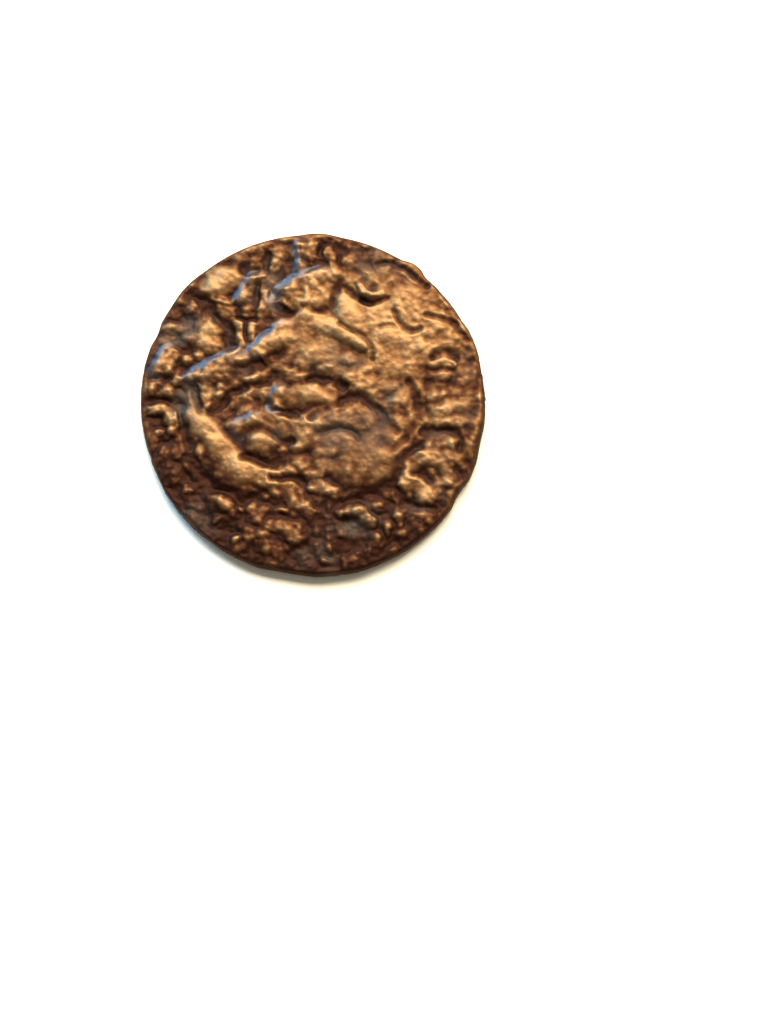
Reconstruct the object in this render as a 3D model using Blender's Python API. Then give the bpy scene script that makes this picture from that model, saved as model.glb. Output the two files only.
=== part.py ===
"""A worn copper duit, lying on its reverse: one struck disc with relief on both faces.

The frame is +Z up, with the origin in the middle of the underside. The obverse faces up: a
seated maiden in a round fence, with a ring of worn strokes where the legend stands. Each face
is drawn as a die cutter draws it, mark after mark, in millimetres on a coin of the drawn
width, and the drawing follows the flan when its sizes change.
"""

import math

import bmesh
import bpy
import numpy as np
from mathutils import Vector

# Flan: the blank disc, a little longer one way than the other
FLAN_WIDTH = 0.0217
FLAN_LENGTH = 0.02275
FLAN_TURN = 20.0
FIELD_THICKNESS = 0.00095
SHOULDER_WIDTH = 0.00032
SHOULDER_DROP = 0.00028
FOOT_WIDTH = 0.0003
FOOT_RISE = 0.0002
EDGE_BULGE = 0.00006

# Where the obverse die stood on the flan
STRIKE_RIGHT = 0.00005
STRIKE_UP = -0.00035

# Obverse relief, above and below its field
HEAD_HEIGHT = 0.00022
BODY_HEIGHT = 0.00016
KNEE_HEIGHT = 0.00018
FOLD_HEIGHT = 0.00012
FENCE_HEIGHT = 0.00017
STROKE_HEIGHT = 0.00014
SCARP_HEIGHT = 0.00024
RIM_HEIGHT = 0.00004
CUT_DEPTH = 0.00012

# Wear: it takes the tops down softly to a common height, and levels the last share of the face
# before its edge
WEAR_HEIGHT = 0.00036
WEAR_SOFTNESS = 0.00010
SMOOTH_BORDER = 0.03
RIM_LINE = 0.965
RIM_REACH = 0.035
RIM_BEST_KEPT = 30.0
# How a boss rises: the power of its profile
ROUND = 2
FLAT_TOPPED = 3

# Corrosion: random lumps, strokes of uneven height, and lines led astray. Each size is a pair:
# the width of the lumps in drawing millimetres, and their share of the whole
LUMP_HEIGHT = 0.00006
LUMP_SIZES = ((2.4, 0.8), (1.1, 1.0), (0.6, 0.4))
UNEVEN_SHARE = 0.35
UNEVEN_SIZES = ((0.9, 1.0), (0.45, 0.5))
UNEVEN_SEED = 20
WANDER_REACH = 0.10
WANDER_SIZES = ((1.3, 1.0), (0.6, 0.6))
WANDER_SHIFT = 40.0

# Reverse: its field lies above the worn flat on which the coin rests
REVERSE_RECESS = 0.00014
REVERSE_HEIGHT = 0.00020
REVERSE_RIM_WIDTH = 0.0009
CENTRE_BOSS_WIDTH = 0.0020

# The marks are drawn in millimetres, on a coin of this middle width
DRAWN_WIDTH = 22.225
WREATH_RADIUS = 7.6
LEAF_PAIRS = 11
LEAF_LENGTH = 1.3
STROKE_PITCH = 1.25
STROKE_ROWS = ((3.6, 4, 1.5), (1.9, 6, 1.2), (-1.9, 6, 1.2), (-3.8, 4, 1.5))

# Dents and bumps of the edge: direction and half width in degrees, and share of the radius
EDGE_MARKS = (
    (20, 12, 0.012), (54, 6, 0.023), (88, 8, 0.011), (137, 10, 0.009), (156, 5, -0.011),
    (200, 14, -0.009), (262, 12, -0.010), (286, 6, 0.005), (326, 6, -0.014), (345, 8, -0.009),
)

# Mesh: the disc's grid and edge rows, what is kept of them, and a length that counts as none
GRID_RINGS = 64
SHOULDER_STEPS = 4
LAST_ROW = SHOULDER_STEPS + 4
TRIANGLES = 9600
THINNING_SCALE = 1000.0
WORN_FLAT = 0.000002
CURVE_STEPS = 6
LATTICE = 64
NO_WIDTH = 1e-9

# Copper with a brown patina
PATINA_COLOUR = (0.20, 0.105, 0.052, 1.0)
PATINA_METALLIC = 0.85
PATINA_ROUGHNESS = 0.42


def clear_scene():
    """Remove the objects that the file opens with."""
    for thing in list(bpy.data.objects):
        bpy.data.objects.remove(thing, do_unlink=True)


def smooth_path(points):
    """Points along a smooth curve that passes through the given ones."""
    knots = np.array(points, float)
    if len(knots) < 3:
        return knots
    ends = np.vstack([2 * knots[0] - knots[1], knots, 2 * knots[-1] - knots[-2]])
    path = []
    for a, b, c, d in zip(ends, ends[1:], ends[2:], ends[3:]):
        for t in np.arange(CURVE_STEPS) / CURVE_STEPS:
            bend = 2 * a - 5 * b + 4 * c - d + t * (3 * (b - c) + d - a)
            path.append(b + 0.5 * t * (c - a + t * bend))
    path.append(knots[-1])
    return np.array(path)


def random_lumps(x, y, size, seed):
    """Smooth random heights from -1 to 1, with lumps about as wide as the size."""
    lattice = np.random.default_rng(seed).uniform(-1, 1, (LATTICE, LATTICE))
    u, v = x / size, y / size
    i, j = np.floor(u).astype(int), np.floor(v).astype(int)
    s, t = u - i, v - j
    s, t = s * s * (3 - 2 * s), t * t * (3 - 2 * t)
    i, j, right, above = i % LATTICE, j % LATTICE, (i + 1) % LATTICE, (j + 1) % LATTICE
    low = lattice[i, j] * (1 - s) + lattice[right, j] * s
    high = lattice[i, above] * (1 - s) + lattice[right, above] * s
    return low * (1 - t) + high * t


def union(a, b):
    """The higher of two reliefs, with a smooth seam between them."""
    return (a ** 3 + b ** 3) ** (1 / 3)


class Die:
    """A die face: the marks cut in it raise or sink the points of the coin."""

    def __init__(self, x, y):
        self.x, self.y = x, y
        self.raised = np.zeros_like(x)
        self.sunk = np.zeros_like(x)

    def dome(self, x, y, wide, tall, height, turn=0.0, edge=ROUND):
        """Raise a rounded boss; the flat-topped edge gives it steeper sides."""
        angle = math.radians(turn)
        dx, dy = self.x - x, self.y - y
        u = (dx * math.cos(angle) + dy * math.sin(angle)) * 2 / wide
        v = (dy * math.cos(angle) - dx * math.sin(angle)) * 2 / tall
        t = np.clip(np.hypot(u, v), 0, 1)
        self.raised = union(self.raised, height * (1 - t ** edge) ** 1.5)

    def ridge(self, *points, width, height):
        """Raise a worn, flat-topped stroke along a smooth curve."""
        away = self.stroke(points, width, width)
        self.raised = union(self.raised, height * (1 - away ** FLAT_TOPPED) ** 1.5)

    def scarp(self, *points, width, back, height):
        """Raise a one-sided stroke: steep to the left of its course, gentle to the right."""
        away = self.stroke(points, width, back)
        self.raised = union(self.raised, height * (1 - away ** 2) ** 2)

    def groove(self, *points, width, depth):
        """Sink a stroke along a smooth curve."""
        away = self.stroke(points, width, width)
        self.sunk = union(self.sunk, depth * (1 - away ** 2) ** 2)

    def stroke(self, points, width, back):
        """How far each point is from a stroke: 0 on its line, 1 at its width to the left or right."""
        path = smooth_path(points)
        reach = max(width, back)
        low, high = path.min(axis=0) - reach, path.max(axis=0) + reach
        near = (self.x > low[0]) & (self.x < high[0]) & (self.y > low[1]) & (self.y < high[1])
        px, py = self.x[near], self.y[near]
        nearest = np.hypot(px - path[0, 0], py - path[0, 1])
        left = np.ones_like(px)
        for (ax, ay), (bx, by) in zip(path, path[1:]):
            ex, ey = bx - ax, by - ay
            t = np.clip(((px - ax) * ex + (py - ay) * ey) / (ex * ex + ey * ey), 0, 1)
            dx, dy = px - ax - t * ex, py - ay - t * ey
            away = np.hypot(dx, dy)
            # 1 where the point lies to the left of the course, 0 to the right of it
            side = 0.5 + 0.5 * (ex * dy - ey * dx) / (math.hypot(ex, ey) * away + NO_WIDTH)
            left = np.where(away < nearest, side, left)
            nearest = np.minimum(nearest, away)
        widths = width * left + back * (1 - left)
        faded = np.ones_like(self.x)
        faded[near] = np.clip(nearest / widths, 0, 1)
        return faded


def cut_maiden(die):
    """A seated maiden in a wide robe, facing out: head, arms, lap, knees and hem."""
    # Head with its hair and cap, and the neck
    die.dome(-0.5, 7.55, 3.8, 3.3, HEAD_HEIGHT, edge=FLAT_TOPPED)
    die.scarp((-2.5, 7.0), (-2.1, 7.6), (-1.3, 8.2), (-0.5, 8.6), (0.1, 8.8), width=0.75, back=1.8,
              height=SCARP_HEIGHT)
    die.dome(-0.4, 5.9, 2.0, 1.6, BODY_HEIGHT)
    die.groove((-2.6, 7.4), (-2.3, 6.55), (-1.6, 5.95), width=0.55, depth=CUT_DEPTH * 1.2)
    die.groove((-0.3, 6.25), (0.5, 6.3), (1.1, 6.5), width=0.35, depth=CUT_DEPTH * 0.4)
    die.groove((1.7, 8.2), (1.45, 7.4), (1.3, 6.7), width=0.4, depth=CUT_DEPTH * 0.9)
    # Breast and shoulders
    die.dome(-0.5, 4.1, 5.0, 3.6, BODY_HEIGHT, edge=FLAT_TOPPED)
    die.ridge((-2.2, 5.2), (-0.8, 5.6), (0.6, 5.5), (1.6, 5.0), width=0.7, height=BODY_HEIGHT * 1.1)
    # The arm at the viewer's left, with its sleeve
    die.ridge((-2.2, 4.3), (-3.0, 3.9), (-3.9, 3.55), (-4.7, 3.3), width=0.7, height=BODY_HEIGHT * 1.3)
    die.scarp((-3.8, 3.55), (-2.9, 4.35), (-2.15, 5.0), width=0.7, back=1.6, height=SCARP_HEIGHT)
    die.groove((-5.1, 2.3), (-4.05, 2.5), (-3.15, 2.8), (-2.1, 3.35), width=0.6, depth=CUT_DEPTH)
    die.dome(-3.85, 1.75, 1.4, 0.75, FOLD_HEIGHT * 2, turn=6)
    # The arm at the viewer's right, bent at the elbow
    die.ridge((0.2, 5.3), (1.5, 4.95), (2.5, 4.4), (3.2, 3.9), width=0.6, height=BODY_HEIGHT * 1.35)
    die.groove((1.7, 5.45), (2.5, 4.95), (3.2, 4.45), (3.65, 4.05), (3.9, 3.6), (3.75, 3.0), width=0.28,
               depth=CUT_DEPTH * 0.7)
    die.groove((0.8, 4.2), (1.5, 3.9), (2.2, 3.5), (2.8, 3.25), width=0.9, depth=CUT_DEPTH * 0.75)
    die.dome(2.3, 3.0, 1.6, 1.2, FOLD_HEIGHT)
    # Folds over the waist
    for x, y in ((0.75, 2.45), (-1.55, 2.3), (-0.7, 1.8)):
        die.dome(x, y, 1.5, 0.9, FOLD_HEIGHT * 1.1)
    die.dome(2.35, 1.7, 1.2, 1.0, FOLD_HEIGHT * 1.5)
    die.groove((-0.2, 1.7), (0.7, 1.6), (1.4, 1.5), (2.0, 1.2), width=0.45, depth=CUT_DEPTH * 1.3)
    # The sash over the lap, and the pit between the thighs
    die.dome(-0.5, 0.5, 4.6, 1.9, BODY_HEIGHT * 1.35, turn=3)
    die.scarp((-2.45, -0.15), (-2.3, 0.35), (-2.1, 0.7), width=0.7, back=1.0, height=SCARP_HEIGHT)
    die.dome(-3.0, 0.7, 3.6, 2.2, FOLD_HEIGHT * 1.2)
    die.groove((-2.8, 0.0), (-2.4, -0.45), (-1.6, -0.7), (-0.7, -1.1), width=0.4, depth=CUT_DEPTH * 0.6)
    die.groove((-1.0, -0.15), (-0.2, -0.2), (0.7, -0.1), width=0.6, depth=CUT_DEPTH * 0.5)
    die.groove((-0.1, -0.85), (1.2, -0.1), (2.3, 0.35), (2.95, 0.5), (3.6, 0.05), (4.3, -0.55), (4.8, -1.2),
               (5.2, -1.8), width=0.42, depth=CUT_DEPTH)
    # Robe over the thighs and knees
    die.scarp((-4.65, -1.75), (-4.3, -1.3), (-3.8, -1.0), width=0.7, back=0.9, height=SCARP_HEIGHT)
    die.ridge((-4.7, -1.3), (-4.0, -0.8), (-3.0, -1.0), (-1.85, -1.35), (-0.8, -1.85), (-0.2, -2.4),
              width=0.95, height=FOLD_HEIGHT * 1.35)
    die.groove((-4.6, -2.0), (-4.0, -1.55), (-3.25, -1.5), (-2.55, -1.9), (-1.85, -2.4), (-1.25, -2.5),
               width=0.36, depth=CUT_DEPTH * 0.7)
    die.dome(-3.3, -2.4, 2.6, 2.2, KNEE_HEIGHT, turn=-25, edge=FLAT_TOPPED)
    die.ridge((-0.6, -1.7), (0.2, -1.1), (0.9, -0.75), (1.8, -0.65), (2.6, -0.9), (3.2, -1.2), width=1.05,
              height=FOLD_HEIGHT * 1.3)
    die.groove((0.3, -1.9), (1.05, -1.6), (1.9, -1.55), (2.6, -1.9), (2.9, -2.3), width=0.38,
               depth=CUT_DEPTH * 0.5)
    die.dome(1.7, -2.6, 2.9, 2.0, KNEE_HEIGHT, edge=FLAT_TOPPED)
    # Skirt below the knees, down to the hem
    die.dome(-0.9, -2.9, 1.4, 1.2, KNEE_HEIGHT * 1.1)
    die.dome(-1.9, -3.1, 1.0, 0.9, FOLD_HEIGHT)
    die.dome(-0.3, -4.0, 4.6, 1.9, BODY_HEIGHT * 0.8, edge=FLAT_TOPPED)
    die.ridge((0.2, -3.25), (1.3, -3.25), width=0.5, height=FOLD_HEIGHT * 1.6)
    die.groove((-4.2, -3.4), (-3.4, -3.8), (-2.6, -3.85), (-1.9, -3.8), width=0.5, depth=CUT_DEPTH)
    die.ridge((-0.3, -4.6), (0.5, -4.5), width=0.4, height=FOLD_HEIGHT * 1.3)
    die.groove((-2.5, -4.85), (-1.2, -4.8), (0.0, -5.05), (0.4, -5.2), width=0.42, depth=CUT_DEPTH * 1.1)


def cut_fence(die):
    """The round fence: a thick ring of wattle, higher outside, with a gate at its foot."""
    # Its left run, a bright crest with a sloping outer wall
    die.ridge((-7.5, -0.5), (-6.9, -1.3), (-6.3, -2.1), (-5.9, -2.8), (-5.15, -3.35), (-4.5, -4.1),
              (-3.55, -4.6), (-2.6, -4.85), width=0.95, height=FENCE_HEIGHT * 1.35)
    die.dome(-5.0, -4.5, 4.6, 2.4, FENCE_HEIGHT * 0.9, turn=-38)
    die.groove((-7.6, -3.6), (-7.0, -4.4), (-5.8, -5.5), (-4.65, -6.0), (-3.5, -6.2), (-2.7, -6.2),
               width=0.6, depth=CUT_DEPTH)
    # Its right run, broad and worn smooth
    die.dome(3.9, -3.6, 6.2, 4.4, FENCE_HEIGHT * 1.25, turn=28, edge=FLAT_TOPPED)
    die.groove((0.9, -6.65), (2.0, -6.5), (3.05, -6.15), (4.1, -5.65), (5.0, -5.2), width=0.62,
               depth=CUT_DEPTH * 1.3)
    die.groove((5.0, -5.2), (5.4, -4.6), (5.6, -3.7), (6.25, -3.15), (6.9, -2.7), width=0.5,
               depth=CUT_DEPTH)
    die.ridge((3.6, 1.6), (4.6, 0.9), (5.4, 0.0), (5.8, -1.0), width=1.5, height=FENCE_HEIGHT * 0.95)
    die.groove((6.2, 1.4), (6.5, 0.7), (6.65, -0.1), (6.6, -0.85), (6.3, -1.5), (5.8, -2.2), (5.2, -2.9),
               width=0.45, depth=CUT_DEPTH * 0.9)
    # The gate
    die.ridge((0.1, -5.2), (0.8, -5.35), (1.4, -5.7), width=0.55, height=FENCE_HEIGHT * 1.5)
    die.ridge((-2.3, -5.6), (-1.6, -5.45), (-1.0, -5.75), width=0.65, height=FENCE_HEIGHT * 0.9)
    die.ridge((-0.9, -6.3), (-0.5, -6.6), (-0.2, -7.0), width=0.6, height=FENCE_HEIGHT)
    die.dome(-1.2, -6.1, 2.8, 1.8, FENCE_HEIGHT * 0.4)


def cut_post(die):
    """What stands at the left of the garden: a hat on a staff, beads and a short post."""
    die.dome(-6.85, 4.6, 2.3, 3.0, BODY_HEIGHT * 1.1, turn=-12, edge=FLAT_TOPPED)
    die.scarp((-7.65, 1.75), (-6.7, 2.45), (-5.9, 2.9), (-5.2, 3.2), width=0.7, back=1.6,
              height=SCARP_HEIGHT)
    die.groove((-7.3, 7.2), (-6.9, 6.6), (-6.1, 5.6), (-5.5, 4.9), (-5.35, 3.9), width=0.64,
               depth=CUT_DEPTH * 1.25)
    for step in range(4):
        die.ridge((-5.95, 2.35 - 0.55 * step), width=0.34, height=FOLD_HEIGHT * 1.2)
    die.ridge((-6.7, 1.2), (-6.8, 0.6), (-6.75, 0.1), width=0.42, height=FOLD_HEIGHT * 1.5)
    die.groove((-2.9, 1.45), (-3.5, 1.4), (-4.6, 1.0), (-5.4, 0.55), (-6.0, -0.1), (-6.5, -0.45), width=0.5,
               depth=CUT_DEPTH * 1.2)
    die.groove((-7.3, 1.4), (-7.4, 0.4), (-7.0, -0.5), width=0.4, depth=CUT_DEPTH * 0.8)


def cut_legend_above(die):
    """The strokes of the legend from the left side over the top; they spell nothing."""
    # Broad worn boss and two slanting strokes at the upper left
    die.dome(-6.2, 8.35, 3.6, 2.4, STROKE_HEIGHT * 1.5, turn=32, edge=FLAT_TOPPED)
    die.groove((-4.5, 9.35), width=0.6, depth=CUT_DEPTH * 1.6)
    die.groove((-4.2, 9.1), (-3.8, 9.0), width=0.6, depth=CUT_DEPTH * 1.8)
    die.scarp((-4.65, 7.3), (-4.3, 8.0), (-3.9, 8.55), width=0.7, back=0.7, height=SCARP_HEIGHT)
    die.ridge((-3.9, 8.5), (-3.4, 8.85), width=0.4, height=STROKE_HEIGHT * 1.5)
    die.ridge((-6.4, 7.15), (-5.4, 7.05), width=0.4, height=STROKE_HEIGHT * 0.9)
    die.groove((-3.1, 10.2), (-3.15, 9.2), (-3.6, 8.4), (-3.75, 7.4), (-3.9, 6.4), width=0.32,
               depth=CUT_DEPTH * 0.9)
    die.groove((-4.9, 6.3), (-4.0, 6.2), (-3.0, 6.2), width=0.36, depth=CUT_DEPTH * 0.7)
    die.ridge((-3.15, 7.4), (-3.25, 6.9), (-3.3, 6.3), width=0.5, height=STROKE_HEIGHT * 1.1)
    # Two upright bars, joined at the foot
    die.ridge((-4.85, 5.5), (-4.75, 4.8), (-4.6, 3.9), width=0.42, height=STROKE_HEIGHT * 1.3)
    die.ridge((-3.95, 5.4), (-4.0, 4.8), (-4.1, 3.9), width=0.42, height=STROKE_HEIGHT * 1.3)
    die.groove((-4.4, 5.6), (-4.4, 4.9), (-4.37, 4.3), width=0.2, depth=CUT_DEPTH * 0.5)
    die.groove((-4.8, 5.95), (-4.3, 5.85), (-3.8, 5.9), width=0.4, depth=CUT_DEPTH)
    # Above the head
    die.scarp((-0.9, 9.0), (-0.75, 9.8), (-0.85, 10.8), width=0.7, back=0.5, height=SCARP_HEIGHT * 0.9)
    die.dome(-0.15, 10.2, 1.3, 1.9, STROKE_HEIGHT * 1.3, turn=-6, edge=FLAT_TOPPED)
    die.groove((0.3, 10.3), (0.5, 10.8), (0.9, 11.2), width=0.4, depth=CUT_DEPTH)
    die.ridge((0.85, 10.5), (1.1, 9.8), (1.4, 8.9), width=0.42, height=STROKE_HEIGHT)
    for x, y in ((-3.75, 10.25), (-2.4, 10.3), (-2.65, 9.4)):
        die.ridge((x, y - 0.1), (x, y + 0.1), width=0.5, height=STROKE_HEIGHT * 0.7)
    die.dome(2.1, 9.8, 1.2, 1.0, STROKE_HEIGHT * 0.8)
    die.groove((3.55, 9.45), width=0.6, depth=CUT_DEPTH * 0.9)
    # A hook beside the head
    die.ridge((2.95, 7.9), (3.25, 7.5), (3.75, 7.3), (4.3, 7.45), width=0.34, height=STROKE_HEIGHT * 1.4)
    die.groove((3.8, 7.85), width=0.5, depth=CUT_DEPTH * 0.7)
    die.groove((1.9, 7.9), (2.6, 7.35), (3.3, 6.95), width=0.34, depth=CUT_DEPTH * 1.3)
    die.groove((3.1, 7.05), (3.7, 6.82), (4.2, 6.95), width=0.4, depth=CUT_DEPTH * 1.4)
    die.groove((4.1, 6.95), (4.7, 7.1), width=0.28, depth=CUT_DEPTH * 0.8)
    die.dome(2.3, 6.0, 1.9, 3.4, STROKE_HEIGHT * 1.1, turn=30, edge=FLAT_TOPPED)


def cut_legend_right(die):
    """The strokes of the legend down the right side; they spell nothing."""
    die.dome(6.0, 4.6, 9.0, 9.6, STROKE_HEIGHT * 0.7, edge=FLAT_TOPPED)
    die.groove((5.15, 6.1), (5.4, 5.4), (5.9, 4.9), (6.4, 4.75), (6.8, 4.95), width=0.32,
               depth=CUT_DEPTH * 0.9)
    die.groove((4.2, 5.0), (4.8, 5.15), (5.3, 5.05), width=0.28, depth=CUT_DEPTH * 0.6)
    die.groove((4.0, 9.55), (5.0, 9.5), (6.0, 9.0), (6.7, 8.4), (7.2, 7.9), width=0.3,
               depth=CUT_DEPTH * 0.95)
    die.ridge((5.45, 6.7), (5.65, 5.8), width=0.4, height=STROKE_HEIGHT)
    die.ridge((6.6, 5.65), width=0.45, height=STROKE_HEIGHT)
    die.groove((7.3, 5.85), (8.1, 5.65), (8.85, 5.4), (9.3, 4.9), (9.7, 4.2), width=0.34, depth=CUT_DEPTH)
    for x, y in ((7.4, 4.7), (8.3, 4.8), (4.6, 4.4), (5.3, 4.3)):
        die.ridge((x - 0.25, y), (x + 0.25, y), width=0.5, height=STROKE_HEIGHT)
    die.ridge((5.9, 3.4), (6.4, 3.6), (6.9, 3.9), width=0.5, height=STROKE_HEIGHT)
    die.groove((7.6, 3.15), (8.0, 3.35), (8.4, 3.4), (8.8, 3.25), (9.1, 3.05), width=0.4,
               depth=CUT_DEPTH * 1.2)
    die.ridge((7.6, 2.6), (8.3, 2.75), (8.9, 2.6), width=0.4, height=STROKE_HEIGHT * 1.2)
    # Three short bars across, one under another
    for y, left, right in ((1.85, 7.3, 8.9), (0.6, 7.0, 8.3)):
        die.dome((left + right) / 2, y, right - left + 0.9, 1.0, STROKE_HEIGHT * 0.8)
    for y in (2.2, 1.4):
        die.groove((7.3, y), (9.0, y), width=0.26, depth=CUT_DEPTH * 0.3)
    # A block with an arm above and below
    die.dome(8.6, -0.75, 2.9, 2.1, STROKE_HEIGHT * 1.1, edge=FLAT_TOPPED)
    die.ridge((8.0, -1.25), (8.7, -1.3), (9.4, -1.2), width=0.5, height=STROKE_HEIGHT * 1.2)
    die.dome(8.0, -0.3, 0.9, 0.8, STROKE_HEIGHT)
    die.dome(9.1, -0.2, 0.9, 0.8, STROKE_HEIGHT)
    die.groove((7.0, -1.75), (8.1, -1.8), (8.9, -1.95), (9.2, -2.9), width=0.5, depth=CUT_DEPTH * 1.3)
    for x, y in ((7.35, -2.75), (8.05, -2.65), (8.7, -2.6), (9.25, -3.65)):
        die.dome(x, y, 1.1, 1.0, STROKE_HEIGHT * 0.8)
    # A ring, open at the right
    die.ridge((8.3, -3.75), (7.5, -3.45), (6.6, -3.7), (5.9, -4.15), width=0.75, height=STROKE_HEIGHT * 1.2)
    die.ridge((5.8, -4.7), (5.8, -5.2), width=0.55, height=STROKE_HEIGHT * 1.3)
    die.ridge((6.2, -5.2), (6.6, -5.65), (7.1, -6.1), width=0.85, height=STROKE_HEIGHT * 1.4)
    die.groove((6.4, -4.5), (7.0, -4.65), (7.5, -5.1), width=0.5, depth=CUT_DEPTH)
    die.groove((5.3, -5.6), (5.8, -6.5), (6.6, -6.85), (7.5, -6.8), width=0.45, depth=CUT_DEPTH)
    for x, y in ((8.4, -4.4), (8.45, -5.15)):
        die.dome(x, y, 1.1, 1.0, STROKE_HEIGHT)


def cut_legend_below(die):
    """The strokes of the legend along the foot; they spell nothing."""
    die.ridge((1.8, -7.0), (2.6, -6.9), width=0.55, height=STROKE_HEIGHT)
    die.ridge((2.9, -6.95), (3.3, -7.3), (3.7, -7.75), width=0.6, height=STROKE_HEIGHT * 1.4)
    die.groove((2.2, -7.55), (2.8, -7.6), width=0.45, depth=CUT_DEPTH * 1.2)
    # Worn pads: middle, width and length
    for x, y, wide, tall in ((1.9, -8.3, 1.5, 1.2), (3.9, -8.5, 1.1, 1.1), (5.6, -8.3, 1.5, 1.2),
                             (4.8, -8.2, 0.9, 1.0), (6.6, -7.4, 1.1, 1.0), (4.1, -6.8, 1.3, 1.1),
                             (5.3, -7.3, 1.0, 0.9), (1.0, -9.4, 1.0, 0.9), (0.9, -10.1, 1.0, 0.8),
                             (2.4, -10.0, 1.5, 0.8), (3.3, -9.6, 1.5, 1.0), (-0.9, -8.8, 1.5, 0.8),
                             (-0.6, -9.7, 1.4, 0.8), (-2.7, -9.4, 1.4, 0.9), (-4.7, -8.7, 0.9, 0.8),
                             (-3.0, -6.1, 1.0, 0.8), (-1.9, -6.9, 1.1, 0.8), (-6.0, -7.4, 1.1, 0.9)):
        die.dome(x, y, wide, tall, STROKE_HEIGHT * 1.1)
    die.groove((0.65, -6.9), (0.6, -8.0), (0.85, -9.2), (0.9, -10.2), width=0.4, depth=CUT_DEPTH * 0.5)
    # Four strokes that slant down to the right, stepping out
    for x, y, across in ((-3.7, -6.75, 1.2), (-3.6, -7.5, 1.3), (-2.3, -7.75, 1.2), (-3.8, -8.4, 1.1)):
        die.ridge((x, y), (x + across / 2, y - 0.2), (x + across, y - 0.45), width=0.6,
                  height=STROKE_HEIGHT * 1.2)
    # A caret at the lower left
    die.ridge((-7.3, -6.75), (-6.7, -6.5), (-6.0, -6.3), width=0.7, height=STROKE_HEIGHT)
    die.ridge((-5.6, -6.35), (-5.1, -6.65), (-4.7, -7.0), width=0.6, height=STROKE_HEIGHT * 1.3)


def cut_legend_left(die):
    """The strokes of the legend up the left side; they spell nothing."""
    die.ridge((-10.4, -0.25), (-9.6, -0.2), (-9.0, -0.8), (-8.8, -1.6), width=0.55,
              height=STROKE_HEIGHT * 1.2)
    die.groove((-10.0, -0.9), (-9.6, -0.75), width=0.4, depth=CUT_DEPTH * 0.9)
    die.groove((-10.3, 0.3), (-9.3, 0.35), (-8.4, -0.2), (-8.1, -1.4), (-7.8, -2.6), width=0.5,
               depth=CUT_DEPTH)
    die.ridge((-10.0, 1.15), (-9.2, 0.8), width=0.6, height=STROKE_HEIGHT * 1.2)
    die.groove((-10.0, 1.9), (-9.2, 1.7), width=0.4, depth=CUT_DEPTH * 0.9)
    die.ridge((-9.4, 2.3), (-9.2, 2.9), (-8.9, 3.4), width=0.55, height=STROKE_HEIGHT * 1.2)
    die.scarp((-9.95, 2.3), (-9.2, 3.55), width=0.7, back=0.6, height=SCARP_HEIGHT)
    for x, y, size in ((-8.55, 1.5, 0.5), (-8.05, 3.0, 0.5), (-7.3, 3.25, 0.5), (-9.6, -1.8, 0.35)):
        die.ridge((x, y), width=size, height=STROKE_HEIGHT)
    die.ridge((-9.3, 5.2), (-8.7, 5.05), (-8.0, 4.7), width=0.55, height=STROKE_HEIGHT)
    for x, y, wide, tall in ((-9.4, -3.2, 1.0, 1.5), (-8.45, -3.2, 1.1, 1.1), (-7.05, -3.1, 0.9, 1.1)):
        die.dome(x, y, wide, tall, STROKE_HEIGHT * 1.1)
    die.dome(-8.5, -4.9, 1.7, 1.4, STROKE_HEIGHT)
    die.dome(-7.6, -5.5, 1.5, 1.1, STROKE_HEIGHT)
    die.dome(-7.75, 6.2, 1.4, 1.2, STROKE_HEIGHT * 0.6)


def cut_rim(die, share, turn):
    """Raise what is left of the rim, best kept at the upper right."""
    kept = 0.55 + 0.45 * np.cos(turn - math.radians(RIM_BEST_KEPT))
    off_line = np.clip(np.abs(share - RIM_LINE) / RIM_REACH, 0, 1)
    die.raised = union(die.raised, RIM_HEIGHT * kept * (1 - off_line ** 2) ** 2)


def cut_wreath(die):
    """Two branches tied at the foot, with leaves in pairs along each."""
    for side in (-1, 1):
        for step in range(LEAF_PAIRS):
            turn = math.radians(-76 + 150 * step / (LEAF_PAIRS - 1))
            x, y = side * WREATH_RADIUS * math.cos(turn), WREATH_RADIUS * math.sin(turn)
            for lean in (-40, 40):
                course = turn + math.radians(90 + lean)
                tip = (x + side * LEAF_LENGTH * math.cos(course), y + LEAF_LENGTH * math.sin(course))
                die.ridge((x, y), tip, width=0.62, height=REVERSE_HEIGHT)
    foot = -WREATH_RADIUS
    die.ridge((-1.2, foot - 0.7), (0, foot + 0.1), (1.2, foot - 0.7), width=0.6, height=REVERSE_HEIGHT)


def cut_rows(die):
    """Rows of short worn strokes inside the wreath; they spell nothing."""
    for y, count, tall in STROKE_ROWS:
        for step in range(count):
            x = (step - (count - 1) / 2) * STROKE_PITCH
            lean = 0.2 * (step * 7 % 3 - 1)
            die.ridge((x - lean, y - tall / 2), (x + lean, y + tall / 2), width=0.5,
                      height=REVERSE_HEIGHT)


def corrosion(x, y, sizes, first_seed=0):
    """Random lumps of several sizes, each with its own share of the height."""
    total = np.zeros_like(x)
    for seed, (size, share) in enumerate(sizes, first_seed):
        total += share * random_lumps(x, y, size, seed)
    return total


def wandering(x, y):
    """The same points, led a little astray, so that no worn edge runs straight."""
    right = WANDER_REACH * corrosion(x + WANDER_SHIFT, y, WANDER_SIZES)
    up = WANDER_REACH * corrosion(x, y + WANDER_SHIFT, WANDER_SIZES)
    return x + right, y + up


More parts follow.
